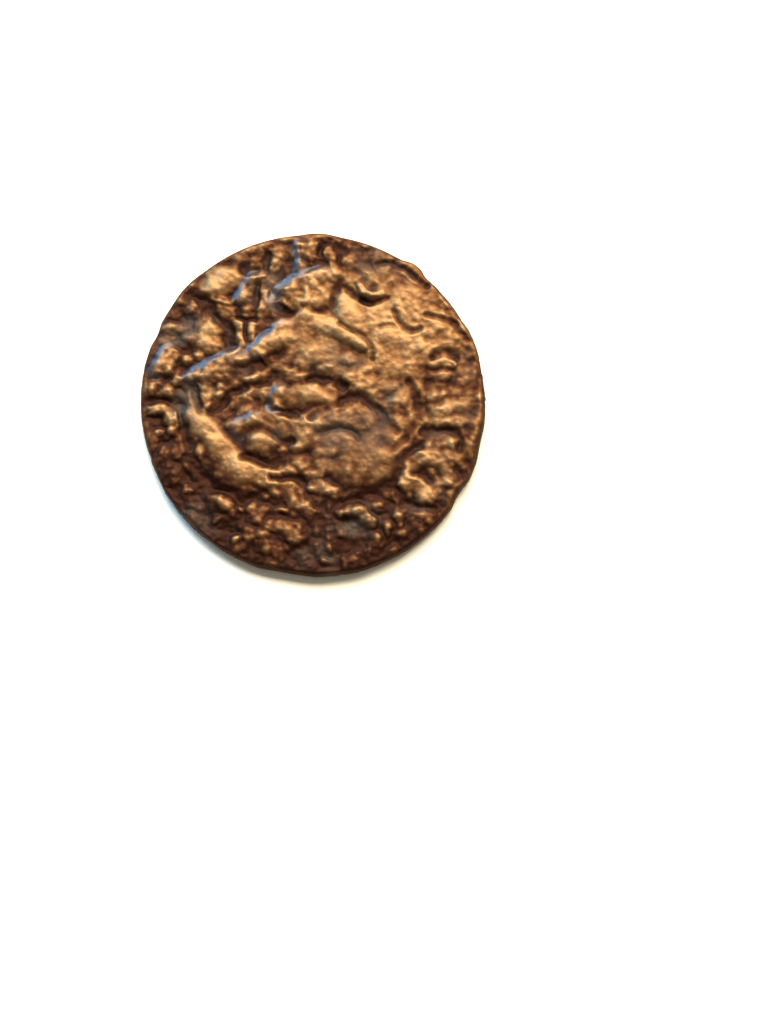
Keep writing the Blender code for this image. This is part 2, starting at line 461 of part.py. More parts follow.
def obverse_relief(x, y, share, turn):
    """Height of the upper face over its field, at points in drawing millimetres."""
    die = Die(*wandering(x, y))
    cut_maiden(die)
    cut_post(die)
    cut_fence(die)
    cut_legend_above(die)
    cut_legend_right(die)
    cut_legend_below(die)
    cut_legend_left(die)
    cut_rim(die, share, turn)
    worn = 1 + UNEVEN_SHARE * corrosion(x, y, UNEVEN_SIZES, UNEVEN_SEED)
    height = (die.raised - die.sunk) * worn + LUMP_HEIGHT * corrosion(x, y, LUMP_SIZES)
    over = np.clip(height - (WEAR_HEIGHT - WEAR_SOFTNESS), 0, None)
    height += WEAR_SOFTNESS * (1 - np.exp(-over / WEAR_SOFTNESS)) - over
    border = np.clip((1 - share) / SMOOTH_BORDER, 0, 1)
    return height * border * border * (3 - 2 * border)


def reverse_relief(x, y, inset):
    """How far the lower face is above its worn flat: 0 on the rim and on what is worn flat."""
    die = Die(*wandering(x, y))
    cut_wreath(die)
    cut_rows(die)
    worn = die.raised + 0.5 * LUMP_HEIGHT * corrosion(x, y, LUMP_SIZES)
    rim = np.clip(2 - (inset - FOOT_WIDTH) / REVERSE_RIM_WIDTH, 0, 1)
    boss = np.clip(2 - 2 * np.hypot(x, y) / (1000 * CENTRE_BOSS_WIDTH), 0, 1)
    raised = np.maximum(worn, 2 * REVERSE_RECESS * np.maximum(rim, boss))
    return np.clip(REVERSE_RECESS - raised, 0, None)


def outline_radius(turn):
    """Distance from the flan's middle to its edge in a direction: an oval with worn dents."""
    along = turn - math.radians(FLAN_TURN)
    radius = 1 / np.hypot(np.cos(along) * 2 / FLAN_WIDTH, np.sin(along) * 2 / FLAN_LENGTH)
    bumps = np.ones_like(turn)
    for direction, half_width, share in EDGE_MARKS:
        away = np.abs((np.degrees(turn) - direction + 180) % 360 - 180) / half_width
        bumps += share * (1 - np.clip(away, 0, 1) ** 2) ** 2
    return radius * bumps


def set_row(parts, row, number):
    """Number the vertices among these parts, and stack them by number."""
    for part in parts:
        if isinstance(part, bmesh.types.BMVert):
            part[row] = number
            part.co.z = -number / LAST_ROW


def closed_disc():
    """Two round grids of even triangles, joined by rows round the edge, with every vertex's row."""
    mesh = bmesh.new()
    row = mesh.verts.layers.int.new("row")
    bmesh.ops.create_circle(mesh, cap_ends=True, cap_tris=True, segments=6, radius=1)
    bmesh.ops.subdivide_edges(mesh, edges=mesh.edges[:], cuts=GRID_RINGS - 1, use_grid_fill=True)
    upper = mesh.verts[:] + mesh.edges[:] + mesh.faces[:]
    lower = bmesh.ops.duplicate(mesh, geom=upper)["geom"]
    bmesh.ops.reverse_faces(mesh, faces=[part for part in lower if isinstance(part, bmesh.types.BMFace)])
    set_row(lower, row, LAST_ROW)
    borders = [edge for edge in mesh.edges if edge.is_boundary]
    edges = [edge for edge in borders if not edge.verts[0][row]]
    foot = [edge for edge in borders if edge.verts[0][row]]
    for number in range(1, LAST_ROW):
        added = bmesh.ops.extrude_edge_only(mesh, edges=edges)["geom"]
        set_row(added, row, number)
        edges = [part for part in added if isinstance(part, bmesh.types.BMEdge)
                 and part.verts[0][row] == part.verts[1][row] == number]
    bmesh.ops.bridge_loops(mesh, edges=edges + foot)
    bmesh.ops.triangulate(mesh, faces=mesh.faces[:])
    return mesh, row


def struck(mesh, row):
    """Move each vertex of the flat disc to its place on the struck coin."""
    verts = mesh.verts[:]
    flat = np.array([vert.co[:2] for vert in verts])
    rows = np.array([vert[row] for vert in verts])
    turn = np.arctan2(flat[:, 1], flat[:, 0])
    sixth = math.radians(60)
    side = (turn + sixth / 2) % sixth - sixth / 2
    share = np.hypot(flat[:, 0], flat[:, 1]) * np.cos(side) / math.cos(sixth / 2)
    edge = outline_radius(turn)
    radius = np.empty_like(edge)
    round_over = np.zeros_like(edge)

    upper = rows <= SHOULDER_STEPS
    lean = np.radians(90 * rows[upper] / SHOULDER_STEPS)
    radius[upper] = share[upper] * (edge[upper] - SHOULDER_WIDTH) + SHOULDER_WIDTH * np.sin(lean)
    round_over[upper] = np.cos(lean)
    bulge = rows == SHOULDER_STEPS + 1
    radius[bulge] = edge[bulge] + EDGE_BULGE
    foot = rows == SHOULDER_STEPS + 2
    radius[foot] = edge[foot]
    heel = rows == SHOULDER_STEPS + 3
    radius[heel] = edge[heel] - FOOT_WIDTH * (1 - math.sin(math.radians(45)))
    lower = rows == LAST_ROW
    radius[lower] = share[lower] * (edge[lower] - FOOT_WIDTH)

    x, y = radius * np.cos(turn), radius * np.sin(turn)
    drawn = DRAWN_WIDTH * 2 / (FLAN_WIDTH + FLAN_LENGTH)
    z = np.empty_like(x)
    relief = obverse_relief((x[upper] - STRIKE_RIGHT) * drawn, (y[upper] - STRIKE_UP) * drawn,
                            radius[upper] / edge[upper], turn[upper])
    wall_top = FIELD_THICKNESS - SHOULDER_DROP
    z[upper] = wall_top + (SHOULDER_DROP + relief) * round_over[upper]
    z[bulge] = (wall_top + FOOT_RISE) / 2
    z[foot] = FOOT_RISE
    z[heel] = FOOT_RISE * (1 - math.cos(math.radians(45)))
    inset = edge[lower] - radius[lower]
    z[lower] = reverse_relief(-x[lower] * drawn, y[lower] * drawn, inset)
    for vert, place in zip(verts, np.stack([x, y, z], axis=1)):
        vert.co = place


def patina():
    """Old copper: brown, half dull, with its metal showing through."""
    material = bpy.data.materials.new("patinated_copper")
    material.use_nodes = True
    shader = material.node_tree.nodes["Principled BSDF"]
    shader.inputs["Base Color"].default_value = PATINA_COLOUR
    shader.inputs["Metallic"].default_value = PATINA_METALLIC
    shader.inputs["Roughness"].default_value = PATINA_ROUGHNESS
    return material


def make_coin():
    """The coin: the struck disc, with fewer triangles where its relief is even."""
    mesh, row = closed_disc()
    struck(mesh, row)
    bmesh.ops.recalc_face_normals(mesh, faces=mesh.faces[:])
    # The modifier's tolerances suit large shapes, so the mesh is thinned at many times its size
    bmesh.ops.scale(mesh, vec=Vector((THINNING_SCALE,) * 3), verts=mesh.verts[:])
    data = bpy.data.meshes.new("coin")
    mesh.to_mesh(data)
    mesh.free()
    coin = bpy.data.objects.new("coin", data)
    bpy.context.scene.collection.objects.link(coin)
    thin = coin.modifiers.new("fewer triangles", "DECIMATE")
    thin.ratio = min(1.0, TRIANGLES / len(data.polygons))
    shown = coin.evaluated_get(bpy.context.evaluated_depsgraph_get())
    coin.data = bpy.data.meshes.new_from_object(shown)
    coin.modifiers.clear()
    coin.data.name = "coin"
    for vert in coin.data.vertices:
        vert.co /= THINNING_SCALE
        if vert.co.z < WORN_FLAT:
            vert.co.z = 0.0
    coin.data.materials.append(patina())
    coin.data.shade_smooth()
    return coin


def main():
    """Build the coin."""
    clear_scene()
    make_coin()


main()
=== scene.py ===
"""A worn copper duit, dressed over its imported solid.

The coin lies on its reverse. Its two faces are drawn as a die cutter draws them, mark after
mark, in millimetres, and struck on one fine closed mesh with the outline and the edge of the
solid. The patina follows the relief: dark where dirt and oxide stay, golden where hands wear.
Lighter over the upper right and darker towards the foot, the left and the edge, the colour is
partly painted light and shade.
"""

from __future__ import annotations

import logging
import math
from dataclasses import dataclass, field
from enum import Enum

import bpy
import numpy as np
from mathutils import Euler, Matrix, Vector


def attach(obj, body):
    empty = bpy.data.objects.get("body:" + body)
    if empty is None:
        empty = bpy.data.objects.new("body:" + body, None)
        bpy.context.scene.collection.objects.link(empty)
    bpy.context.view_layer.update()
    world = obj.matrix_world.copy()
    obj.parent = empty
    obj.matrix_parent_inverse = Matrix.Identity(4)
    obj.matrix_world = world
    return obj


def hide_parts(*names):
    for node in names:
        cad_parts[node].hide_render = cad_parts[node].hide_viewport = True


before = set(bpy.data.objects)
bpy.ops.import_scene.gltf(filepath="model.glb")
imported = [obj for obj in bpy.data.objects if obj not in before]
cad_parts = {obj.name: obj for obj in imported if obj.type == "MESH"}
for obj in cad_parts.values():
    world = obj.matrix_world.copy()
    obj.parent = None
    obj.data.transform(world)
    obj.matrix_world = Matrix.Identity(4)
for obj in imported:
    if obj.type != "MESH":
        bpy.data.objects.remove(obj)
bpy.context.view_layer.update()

LOG = logging.getLogger("duit")
MM = 0.001
# How far aside the pattern is read that leads lines astray, so that it differs from the lumps
WANDER_SHIFT = 40.0
# Keeps a division by a distance of nothing from failing
TINY = 1e-9
# How many triangles meet at the middle of a struck face; its ring k has SECTORS * k vertices
SECTORS = 6
NODE = "coin"
BODY = "root"

Point = tuple[float, float]
Array = np.ndarray


class Slope(Enum):
    """How a boss or a stroke rises: the power of the fall from its top to its foot."""

    ROUND = 2.0
    FLAT_TOPPED = 3.0


def linear_rgb(code: str) -> tuple[float, float, float, float]:
    """Turn an sRGB hex colour to linear light.

    Args:
        code: six hex digits after a hash, such as "#8a5a33".

    Returns:
        Red, green, blue and an alpha of 1.
    """
    shares = [int(code[i:i + 2], 16) / 255 for i in (1, 3, 5)]
    red, green, blue = (s / 12.92 if s <= 0.04045 else ((s + 0.055) / 1.055) ** 2.4 for s in shares)
    return red, green, blue, 1.0


def add_node(tree: bpy.types.NodeTree, kind: str, settings: dict | None = None,
             links: dict | None = None) -> bpy.types.Node:
    """Add a shader node with its settings and its incoming links.

    Args:
        tree: the material's node tree.
        kind: Blender's name of the node type.
        settings: attribute names, or input names or numbers, and their values.
        links: input names or numbers, and the output sockets that feed them.

    Returns:
        The new node.
    """
    node = tree.nodes.new(kind)
    for name, value in (settings or {}).items():
        if isinstance(name, str) and hasattr(node, name):
            setattr(node, name, value)
        else:
            node.inputs[name].default_value = value
    for name, socket in (links or {}).items():
        tree.links.new(socket, node.inputs[name])
    return node


def smooth_path(points: tuple[Point, ...], steps: int = 6) -> Array:
    """Lead a smooth curve, a Catmull-Rom spline, through a few points.

    Args:
        points: the points that the curve passes, in millimetres.
        steps: how many short lines stand for each span.

    Returns:
        The curve's points, one row each.
    """
    knots = np.array(points, float)
    if len(knots) < 3:
        return knots
    ends = np.vstack([2 * knots[0] - knots[1], knots, 2 * knots[-1] - knots[-2]])
    path = []
    for a, b, c, d in zip(ends, ends[1:], ends[2:], ends[3:]):
        for t in np.arange(steps) / steps:
            bend = 2 * a - 5 * b + 4 * c - d + t * (3 * (b - c) + d - a)
            path.append(b + 0.5 * t * (c - a + t * bend))
    path.append(knots[-1])
    return np.array(path)


def union(a: Array, b: Array) -> Array:
    """Return the higher of two reliefs, with a smooth seam between them."""
    return (a ** 3 + b ** 3) ** (1 / 3)


def boss(away: Array, slope: Slope = Slope.ROUND) -> Array:
    """Return a boss with a full top: 1 where away is 0, down to 0 where it is 1 or more."""
    return (1 - np.clip(away, 0, 1) ** slope.value) ** 1.5


def bell(away: Array) -> Array:
    """Return a bump that fades out softly: 1 where away is 0, down to 0 where it is 1 or more."""
    return (1 - np.clip(away, 0, 1) ** 2) ** 2


def oval_distance(dx: Array, dy: Array, wide: float, tall: float, turn: float) -> Array:
    """Tell how far points are from the middle of a turned oval.

    Args:
        dx: how far right of its middle each point is, in millimetres.
        dy: how far above it.
        wide: the oval's width.
        tall: its length across the width.
        turn: how far it is turned, in degrees.

    Returns:
        0 in its middle and 1 on its border.
    """
    angle = math.radians(turn)
    u = (dx * math.cos(angle) + dy * math.sin(angle)) * 2 / wide
    v = (dy * math.cos(angle) - dx * math.sin(angle)) * 2 / tall
    return np.hypot(u, v)


@dataclass(frozen=True)
class Lumps:
    """Smooth random unevenness, such as corrosion leaves, with lumps of several sizes.

    Each size is a pair: the width of its lumps in millimetres, and its share of the height.
    """

    sizes: tuple[tuple[float, float], ...]
    lattice: int = 64

    def one_size(self, x: Array, y: Array, size: float, seed: int) -> Array:
        """Make the lumps of one size.

        Args:
            x: where the heights are wanted, in millimetres.
            y: the same, upwards.
            size: width of a lump in millimetres.
            seed: picks the pattern.

        Returns:
            Heights from -1 to 1.
        """
        n = self.lattice
        table = np.random.default_rng(seed).uniform(-1, 1, (n, n))
        u, v = x / size, y / size
        i, j = np.floor(u).astype(int), np.floor(v).astype(int)
        s, t = u - i, v - j
        s, t = s * s * (3 - 2 * s), t * t * (3 - 2 * t)
        i, j, right, above = i % n, j % n, (i + 1) % n, (j + 1) % n
        low = table[i, j] * (1 - s) + table[right, j] * s
        high = table[i, above] * (1 - s) + table[right, above] * s
        return low * (1 - t) + high * t

    def height(self, x: Array, y: Array, first_seed: int = 0) -> Array:
        """Add up the lumps of all sizes.

        Args:
            x: where the heights are wanted, in millimetres.
            y: the same, upwards.
            first_seed: picks the pattern of the first size; the others follow it.

        Returns:
            Heights, as multiples of the whole height.
        """
        total = np.zeros_like(x)
        for number, (size, share) in enumerate(self.sizes):
            total += share * self.one_size(x, y, size, first_seed + number)
        return total


@dataclass(frozen=True)
class Pebbles:
    """Rounded bumps that run together, as a corroded surface has after it was worn.

    Each size is a pair: the distance of its bumps in millimetres, and its share of the height.
    """

    sizes: tuple[tuple[float, float], ...]
    place_in_cell: tuple[float, float] = (0.1, 0.9)
    top_heights: tuple[float, float] = (0.35, 1.0)
    sharpness: int = 5
    lattice: int = 64

    def height(self, x: Array, y: Array, first_seed: int = 0) -> Array:
        """Add up the bumps of all sizes.

        Args:
            x: where the heights are wanted, in millimetres.
            y: the same, upwards.
            first_seed: picks the pattern of the first size; the others follow it.

        Returns:
            Heights, as multiples of the whole height.
        """
        total = np.zeros_like(x)
        for number, (size, share) in enumerate(self.sizes):
            random = np.random.default_rng(first_seed + number)
            middles = random.uniform(*self.place_in_cell, (self.lattice, self.lattice, 2))
            tops = random.uniform(*self.top_heights, (self.lattice, self.lattice))
            i, j = np.floor(x / size).astype(int), np.floor(y / size).astype(int)
            powers = np.zeros_like(x)
            for right in (-1, 0, 1):
                for above in (-1, 0, 1):
                    cell = (i + right) % self.lattice, (j + above) % self.lattice
                    dx = i + right + middles[cell][..., 0] - x / size
                    dy = j + above + middles[cell][..., 1] - y / size
                    dome = np.clip(tops[cell] - dx * dx - dy * dy, 0, None)
                    powers += dome ** self.sharpness
            total += share * powers ** (1 / self.sharpness)
        return total


@dataclass
class DieFace:
    """A face of the die: the marks cut in it raise or sink the points of the coin.

    The points, x to the right and y upwards, are in millimetres. The gloss is on the steep
    flanks of one-sided strokes, from 0 to its most.
    """

    x: Array
    y: Array
    gloss_gain: float = 5.0
    most_gloss: float = 0.8
    raised: Array = field(init=False)
    sunk: Array = field(init=False)
    gloss: Array = field(init=False)

    def __post_init__(self) -> None:
        """Start from a plain, dull face."""
        self.raised, self.sunk, self.gloss = (np.zeros_like(self.x) for _ in range(3))

    def dome(self, x: float, y: float, wide: float, tall: float, height: float,
             turn: float = 0.0, slope: Slope = Slope.ROUND) -> None:
        """Raise a rounded boss.

        Args:
            x: its middle, in millimetres.
            y: the same, upwards.
            wide: its width.
            tall: its length across the width.
            height: its height in millimetres.
            turn: how far it is turned, in degrees.
            slope: how it rises from the field.
        """
        away = oval_distance(self.x - x, self.y - y, wide, tall, turn)
        self.raised = union(self.raised, height * boss(away, slope))

    def ridge(self, *points: Point, width: float, height: float) -> None:
        """Raise a worn, flat-topped stroke of this width and height along a smooth curve."""
        away = self.sided_stroke(points, width, width)[0]
        self.raised = union(self.raised, height * boss(away, Slope.FLAT_TOPPED))

    def scarp(self, *points: Point, width: float, back: float, height: float) -> None:
        """Raise a one-sided stroke along a smooth curve; its steep side keeps a gloss.

        Args:
            points: the points that its crest passes, in millimetres.
            width: how far it reaches to the left of its course, where it is steep.
            back: how far it reaches to the right, where it falls gently.
            height: its height in millimetres.
        """
        away, left = self.sided_stroke(points, width, back)
        shape = bell(away)
        self.raised = union(self.raised, height * shape)
        steepness = np.minimum(self.gloss_gain * shape * (1 - shape), self.most_gloss)
        self.gloss = np.maximum(self.gloss, steepness * left)

    def groove(self, *points: Point, width: float, depth: float) -> None:
        """Sink a stroke of this width and depth along a smooth curve."""
        away = self.sided_stroke(points, width, width)[0]
        self.sunk = union(self.sunk, depth * bell(away))

    def sided_stroke(self, points: tuple[Point, ...], width: float, back: float) -> tuple[Array, Array]:
        """Tell how far each point of the face is from a stroke's line.

        Args:
            points: the points that the stroke passes, in millimetres.
            width: where the stroke has faded out, at the left of its course.
            back: the same at the right of its course.

        Returns:
            0 on the stroke's line, up to 1 where it has faded out; and 1 at its left, 0 at its
            right.
        """
        path = smooth_path(points)
        reach = max(width, back)
        low, high = path.min(axis=0) - reach, path.max(axis=0) + reach
        near = (self.x > low[0]) & (self.x < high[0]) & (self.y > low[1]) & (self.y < high[1])
        px, py = self.x[near], self.y[near]
        nearest = np.hypot(px - path[0, 0], py - path[0, 1])
        left = np.ones_like(px)
        for (ax, ay), (bx, by) in zip(path, path[1:]):
            ex, ey = bx - ax, by - ay
            t = np.clip(((px - ax) * ex + (py - ay) * ey) / (ex * ex + ey * ey), 0, 1)
            dx, dy = px - ax - t * ex, py - ay - t * ey
            away = np.hypot(dx, dy)
            # 1 where the point lies to the left of the course, 0 to the right of it
            side = 0.5 + 0.5 * (ex * dy - ey * dx) / (math.hypot(ex, ey) * away + TINY)
            left = np.where(away < nearest, side, left)
            nearest = np.minimum(nearest, away)
        widths = width * left + back * (1 - left)
        faded, at_left = np.ones_like(self.x), np.zeros_like(self.x)
        faded[near] = np.clip(nearest / widths, 0, 1)
        at_left[near] = left
        return faded, at_left


@dataclass(frozen=True)
class Patch:
    """A soft-edged oval of the face, lighter where its share is over 0 and darker where it is under 0:
    partly rubbed metal and kept oxide, partly painted light and shade.

    Where it was also polished, the corrosion's small bumps are lower. Where it is grey, a dull
    film lies over the brown.
    """

    x: float
    y: float
    wide: float
    tall: float
    share: float
    turn: float = 0.0
    polish: float = 0.0
    grey: float = 0.0

    def strength(self, x: Array, y: Array) -> Array:
        """Return 1 in the patch's middle, down to 0 at its border."""
        return boss(oval_distance(x - self.x, y - self.y, self.wide, self.tall, self.turn))


# The patina as it has worn: golden over the upper right, dark brown along the foot and the left,
# with a grey film here and there. The broad lighter upper right and darker foot and left are partly
# worn metal and oxide and partly painted light and shade of a light from the top.
# Each line gives the middle, the width, the length and the share.
PATCHES = (
    Patch(4.2, 5.2, 14.0, 10.0, 0.38, turn=-20),
    Patch(0.0, 4.5, 8.0, 6.0, 0.12, polish=0.5),
    Patch(-6.1, 8.4, 4.0, 2.8, 0.40, turn=32, polish=0.8),
    Patch(-6.9, 4.5, 2.4, 3.6, 0.25),
    Patch(-5.9, -2.5, 7.0, 2.4, 0.30, turn=-50, polish=0.5),
    Patch(-4.8, -4.3, 6.0, 4.0, 0.05, turn=-40, polish=0.9),
    Patch(3.6, -3.2, 8.0, 6.4, -0.14, turn=25, polish=1.2),
    Patch(7.2, -5.0, 3.8, 3.8, 0.20),
    Patch(8.4, -0.4, 4.0, 4.5, 0.15),
    Patch(-0.2, 0.5, 5.0, 2.2, 0.15, polish=1.0),
    Patch(-7.6, 6.6, 4.6, 3.6, -0.35, turn=40),
    Patch(1.2, 10.4, 7.0, 2.6, -0.20),
    Patch(-2.0, 7.0, 2.0, 3.6, -0.20, turn=20, grey=0.6),
    # Painted shade: darkens the lit crest below the hat's glossy flank
    Patch(-6.4, 2.3, 4.6, 1.8, -0.22, turn=30),
    Patch(-6.5, -6.0, 12.0, 7.0, -0.40, turn=-40),
    Patch(-1.0, 9.8, 1.6, 3.4, -0.10, grey=1.0),
    Patch(2.8, 9.0, 2.8, 2.6, 0.0, grey=0.8),
    Patch(2.3, 2.7, 2.6, 1.8, -0.05, grey=0.8),
    Patch(-8.3, 4.6, 3.4, 3.0, 0.0, grey=0.8),
    Patch(-8.1, 0.3, 2.6, 6.0, 0.0, grey=0.7),
    Patch(1.0, -2.0, 8.0, 4.2, 0.0, polish=0.7, grey=0.5),
    Patch(-3.2, -2.0, 4.4, 3.4, 0.0, polish=0.7, grey=0.5),
    Patch(-7.0, -7.0, 4.4, 2.4, 0.0, turn=-40, grey=0.8),
    Patch(2.7, -8.0, 2.6, 1.8, 0.0, grey=0.8),
    Patch(2.0, -9.0, 18.0, 9.0, -0.38, turn=10),
    Patch(-9.0, -1.0, 4.0, 9.0, -0.12),
)


@dataclass(frozen=True)
class Patina:
    """How the obverse has worn, with the light and shade painted on it: what the patches add up to at each
    of its points.

    Each method takes the points in millimetres from the die's middle, x to the right and y up.
    """

    patches: tuple[Patch, ...] = PATCHES
    most_polished: float = 0.9

    def rubbed_and_shaded(self, x: Array, y: Array) -> Array:
        """Return over 0 where it is lighter and under 0 where it is darker: rubbed metal and kept oxide,
        with painted light and shade.
        """
        return sum(patch.share * patch.strength(x, y) for patch in self.patches)

    def polished(self, x: Array, y: Array) -> Array:
        """Return how much of the corrosion's bumps is gone, from 0 to the most."""
        total = sum(patch.polish * patch.strength(x, y) for patch in self.patches)
        return np.clip(total, 0, self.most_polished)

    def greyed(self, x: Array, y: Array) -> Array:
        """Return how much of a dull grey film there is, from 0 to 1."""
        return np.clip(sum(patch.grey * patch.strength(x, y) for patch in self.patches), 0, 1)


@dataclass
class Obverse:
    """The obverse: a seated maiden in a round fence, and the worn strokes round it.

    Heights and depths are in millimetres, over and under the field.
    """

    head: float = 0.22
    feature: float = 0.028
    face_middle: Point = (-0.45, 7.45)
    face_height: float = 2.7
    body: float = 0.16
    knee: float = 0.18
    fold: float = 0.12
    fence: float = 0.17
    stroke: float = 0.14
    scarp: float = 0.24
    rim: float = 0.04
    cut: float = 0.12
    # What is left of the rim: its line and half width as shares of the flan's radius, how much
    # of it there is on average and how much that varies, and the direction where it is best kept
    rim_line: float = 0.965
    rim_reach: float = 0.035
    rim_kept: float = 0.55
    rim_varies: float = 0.45
    rim_best_kept: float = 30.0
    # The height that wear has brought the highest marks down to, and how softly it begins
    wear: float = 0.36
    wear_softness: float = 0.10
    # How far the marks' lines wander, and how much their height varies along them
    wander: float = 0.10
    wandering: Lumps = Lumps(((1.3, 1.0), (0.6, 0.6)))
    uneven: float = 0.35
    uneven_seed: int = 20
    unevenness: Lumps = Lumps(((0.9, 1.0), (0.45, 0.5)))
    # The corrosion: broad lumps, and pebbles that are fewer where the coin was rubbed
    lump: float = 0.06
    lumps: Lumps = Lumps(((2.4, 0.8), (1.1, 1.0), (0.6, 0.4), (0.33, 0.2)))
    pebble: float = 0.18
    pebbles: Pebbles = Pebbles(((0.8, 1.0), (0.42, 0.5)))
    pebble_level: float = 0.95
    pebbles_left: float = 0.85
    pebbles_lost: float = 1.5
    pebble_limits: tuple[float, float] = (0.35, 1.2)
    smooth_flank: float = 0.8
    smooth_border: float = 0.03
    patina: Patina = Patina()

    def relief(self, x: Array, y: Array, share: Array, turn: Array) -> tuple[Array, Array]:
        """Strike the obverse.

        Args:
            x: the points of the face, in millimetres from the die's middle.
            y: the same, upwards.
            share: their distance from the flan's middle, as a share of the edge's.
            turn: their direction from it, in radians.

        Returns:
            Heights over the field, in millimetres, and where a flank kept its gloss, from 0 to 1.
        """
        right = self.wander * self.wandering.height(x + WANDER_SHIFT, y)
        up = self.wander * self.wandering.height(x, y + WANDER_SHIFT)
        die = DieFace(x + right, y + up)
        for cut in (self.cut_head, self.cut_arms, self.cut_lap, self.cut_skirt, self.cut_post,
                    self.cut_fence, self.cut_strokes_above, self.cut_strokes_right,
                    self.cut_strokes_below, self.cut_strokes_left):
            cut(die)
        self.cut_rim(die, share, turn)
        face = DieFace(x, y)
        self.cut_face(face)
        worn = 1 + self.uneven * self.unevenness.height(x, y, self.uneven_seed)
        height = (die.raised - die.sunk) * worn + face.raised - face.sunk
        height += self.lump * self.lumps.height(x, y)
        # The corrosion is left in the dark places; where the coin was rubbed it is smoother
        left = self.pebbles_left - self.pebbles_lost * self.patina.rubbed_and_shaded(x, y)
        left = np.clip(left, *self.pebble_limits) * (1 - self.patina.polished(x, y))
        left *= 1 - self.smooth_flank * die.gloss
        height += self.pebble * left * (self.pebbles.height(x + right, y + up) - self.pebble_level)
        over = np.clip(height - (self.wear - self.wear_softness), 0, None)
        height += self.wear_softness * (1 - np.exp(-over / self.wear_softness)) - over
        border = np.clip((1 - share) / self.smooth_border, 0, 1)
        return height * border * border * (3 - 2 * border), die.gloss

    def cut_rim(self, die: DieFace, share: Array, turn: Array) -> None:
        """Cut what is left of the rim, best kept at the upper right.

        Args:
            die: the face of the die.
            share: each point's distance from the flan's middle, as a share of the edge's.
            turn: its direction from it, in radians.
        """
        kept = self.rim_kept + self.rim_varies * np.cos(turn - math.radians(self.rim_best_kept))
        off_line = np.abs(share - self.rim_line) / self.rim_reach
        die.raised = union(die.raised, self.rim * kept * bell(off_line))

    def cut_head(self, die: DieFace) -> None:
        """Cut the seated maiden's head, with its hair and cap, and the neck.

        Args:
            die: the face of the die.
        """
        die.dome(-0.5, 7.55, 3.8, 3.3, self.head, slope=Slope.FLAT_TOPPED)
        die.scarp((-2.5, 7.0), (-2.1, 7.6), (-1.3, 8.2), (-0.5, 8.6), (0.1, 8.8), width=0.75, back=1.8,
                  height=self.scarp)
        die.dome(-0.4, 5.9, 2.0, 1.6, self.body)
        die.groove((-2.6, 7.4), (-2.3, 6.55), (-1.6, 5.95), width=0.55, depth=self.cut * 1.2)
        die.groove((-0.3, 6.25), (0.5, 6.3), (1.1, 6.5), width=0.35, depth=self.cut * 0.4)
        die.groove((1.7, 8.2), (1.45, 7.4), (1.3, 6.7), width=0.4, depth=self.cut * 0.9)

    def cut_arms(self, die: DieFace) -> None:
        """Cut her breast, shoulders and arms, and the folds of her wide robe over the waist.

        Args:
            die: the face of the die.
        """
        die.dome(-0.5, 4.1, 5.0, 3.6, self.body, slope=Slope.FLAT_TOPPED)
        die.ridge((-2.2, 5.2), (-0.8, 5.6), (0.6, 5.5), (1.6, 5.0), width=0.7, height=self.body * 1.1)
        # The arm at the viewer's left, with its sleeve
        die.ridge((-2.2, 4.3), (-3.0, 3.9), (-3.9, 3.55), (-4.7, 3.3), width=0.7, height=self.body * 1.3)
        die.scarp((-3.8, 3.55), (-2.9, 4.35), (-2.15, 5.0), width=0.7, back=1.6, height=self.scarp)
        die.groove((-5.1, 2.3), (-4.05, 2.5), (-3.15, 2.8), (-2.1, 3.35), width=0.6, depth=self.cut)
        die.dome(-3.85, 1.75, 1.4, 0.75, self.fold * 2, turn=6)
        # The arm at the viewer's right, bent at the elbow
        die.ridge((0.2, 5.3), (1.5, 4.95), (2.5, 4.4), (3.2, 3.9), width=0.6, height=self.body * 1.35)
        die.groove((1.7, 5.45), (2.5, 4.95), (3.2, 4.45), (3.65, 4.05), (3.9, 3.6), (3.75, 3.0), width=0.28,
                   depth=self.cut * 0.7)
        die.groove((0.8, 4.2), (1.5, 3.9), (2.2, 3.5), (2.8, 3.25), width=0.9, depth=self.cut * 0.75)
        die.dome(2.3, 3.0, 1.6, 1.2, self.fold)
        # Folds over the waist
        for x, y in ((0.75, 2.45), (-1.55, 2.3), (-0.7, 1.8)):
            die.dome(x, y, 1.5, 0.9, self.fold * 1.1)
        die.dome(2.35, 1.7, 1.2, 1.0, self.fold * 1.5)
        die.groove((-0.2, 1.7), (0.7, 1.6), (1.4, 1.5), (2.0, 1.2), width=0.45, depth=self.cut * 1.3)

    def cut_lap(self, die: DieFace) -> None:
        """Cut the sash over her lap, the pit between the thighs, and the robe over the knees.

        Args:
            die: the face of the die.
        """
        die.dome(-0.5, 0.5, 4.6, 1.9, self.body * 1.35, turn=3)
        die.scarp((-2.45, -0.15), (-2.3, 0.35), (-2.1, 0.7), width=0.7, back=1.0, height=self.scarp)
        die.dome(-3.0, 0.7, 3.6, 2.2, self.fold * 1.2)
        die.groove((-2.8, 0.0), (-2.4, -0.45), (-1.6, -0.7), (-0.7, -1.1), width=0.4, depth=self.cut * 0.6)
        die.groove((-1.0, -0.15), (-0.2, -0.2), (0.7, -0.1), width=0.6, depth=self.cut * 0.5)
        die.groove((-0.1, -0.85), (1.2, -0.1), (2.3, 0.35), (2.95, 0.5), (3.6, 0.05), (4.3, -0.55),
                   (4.8, -1.2), (5.2, -1.8), width=0.42, depth=self.cut)
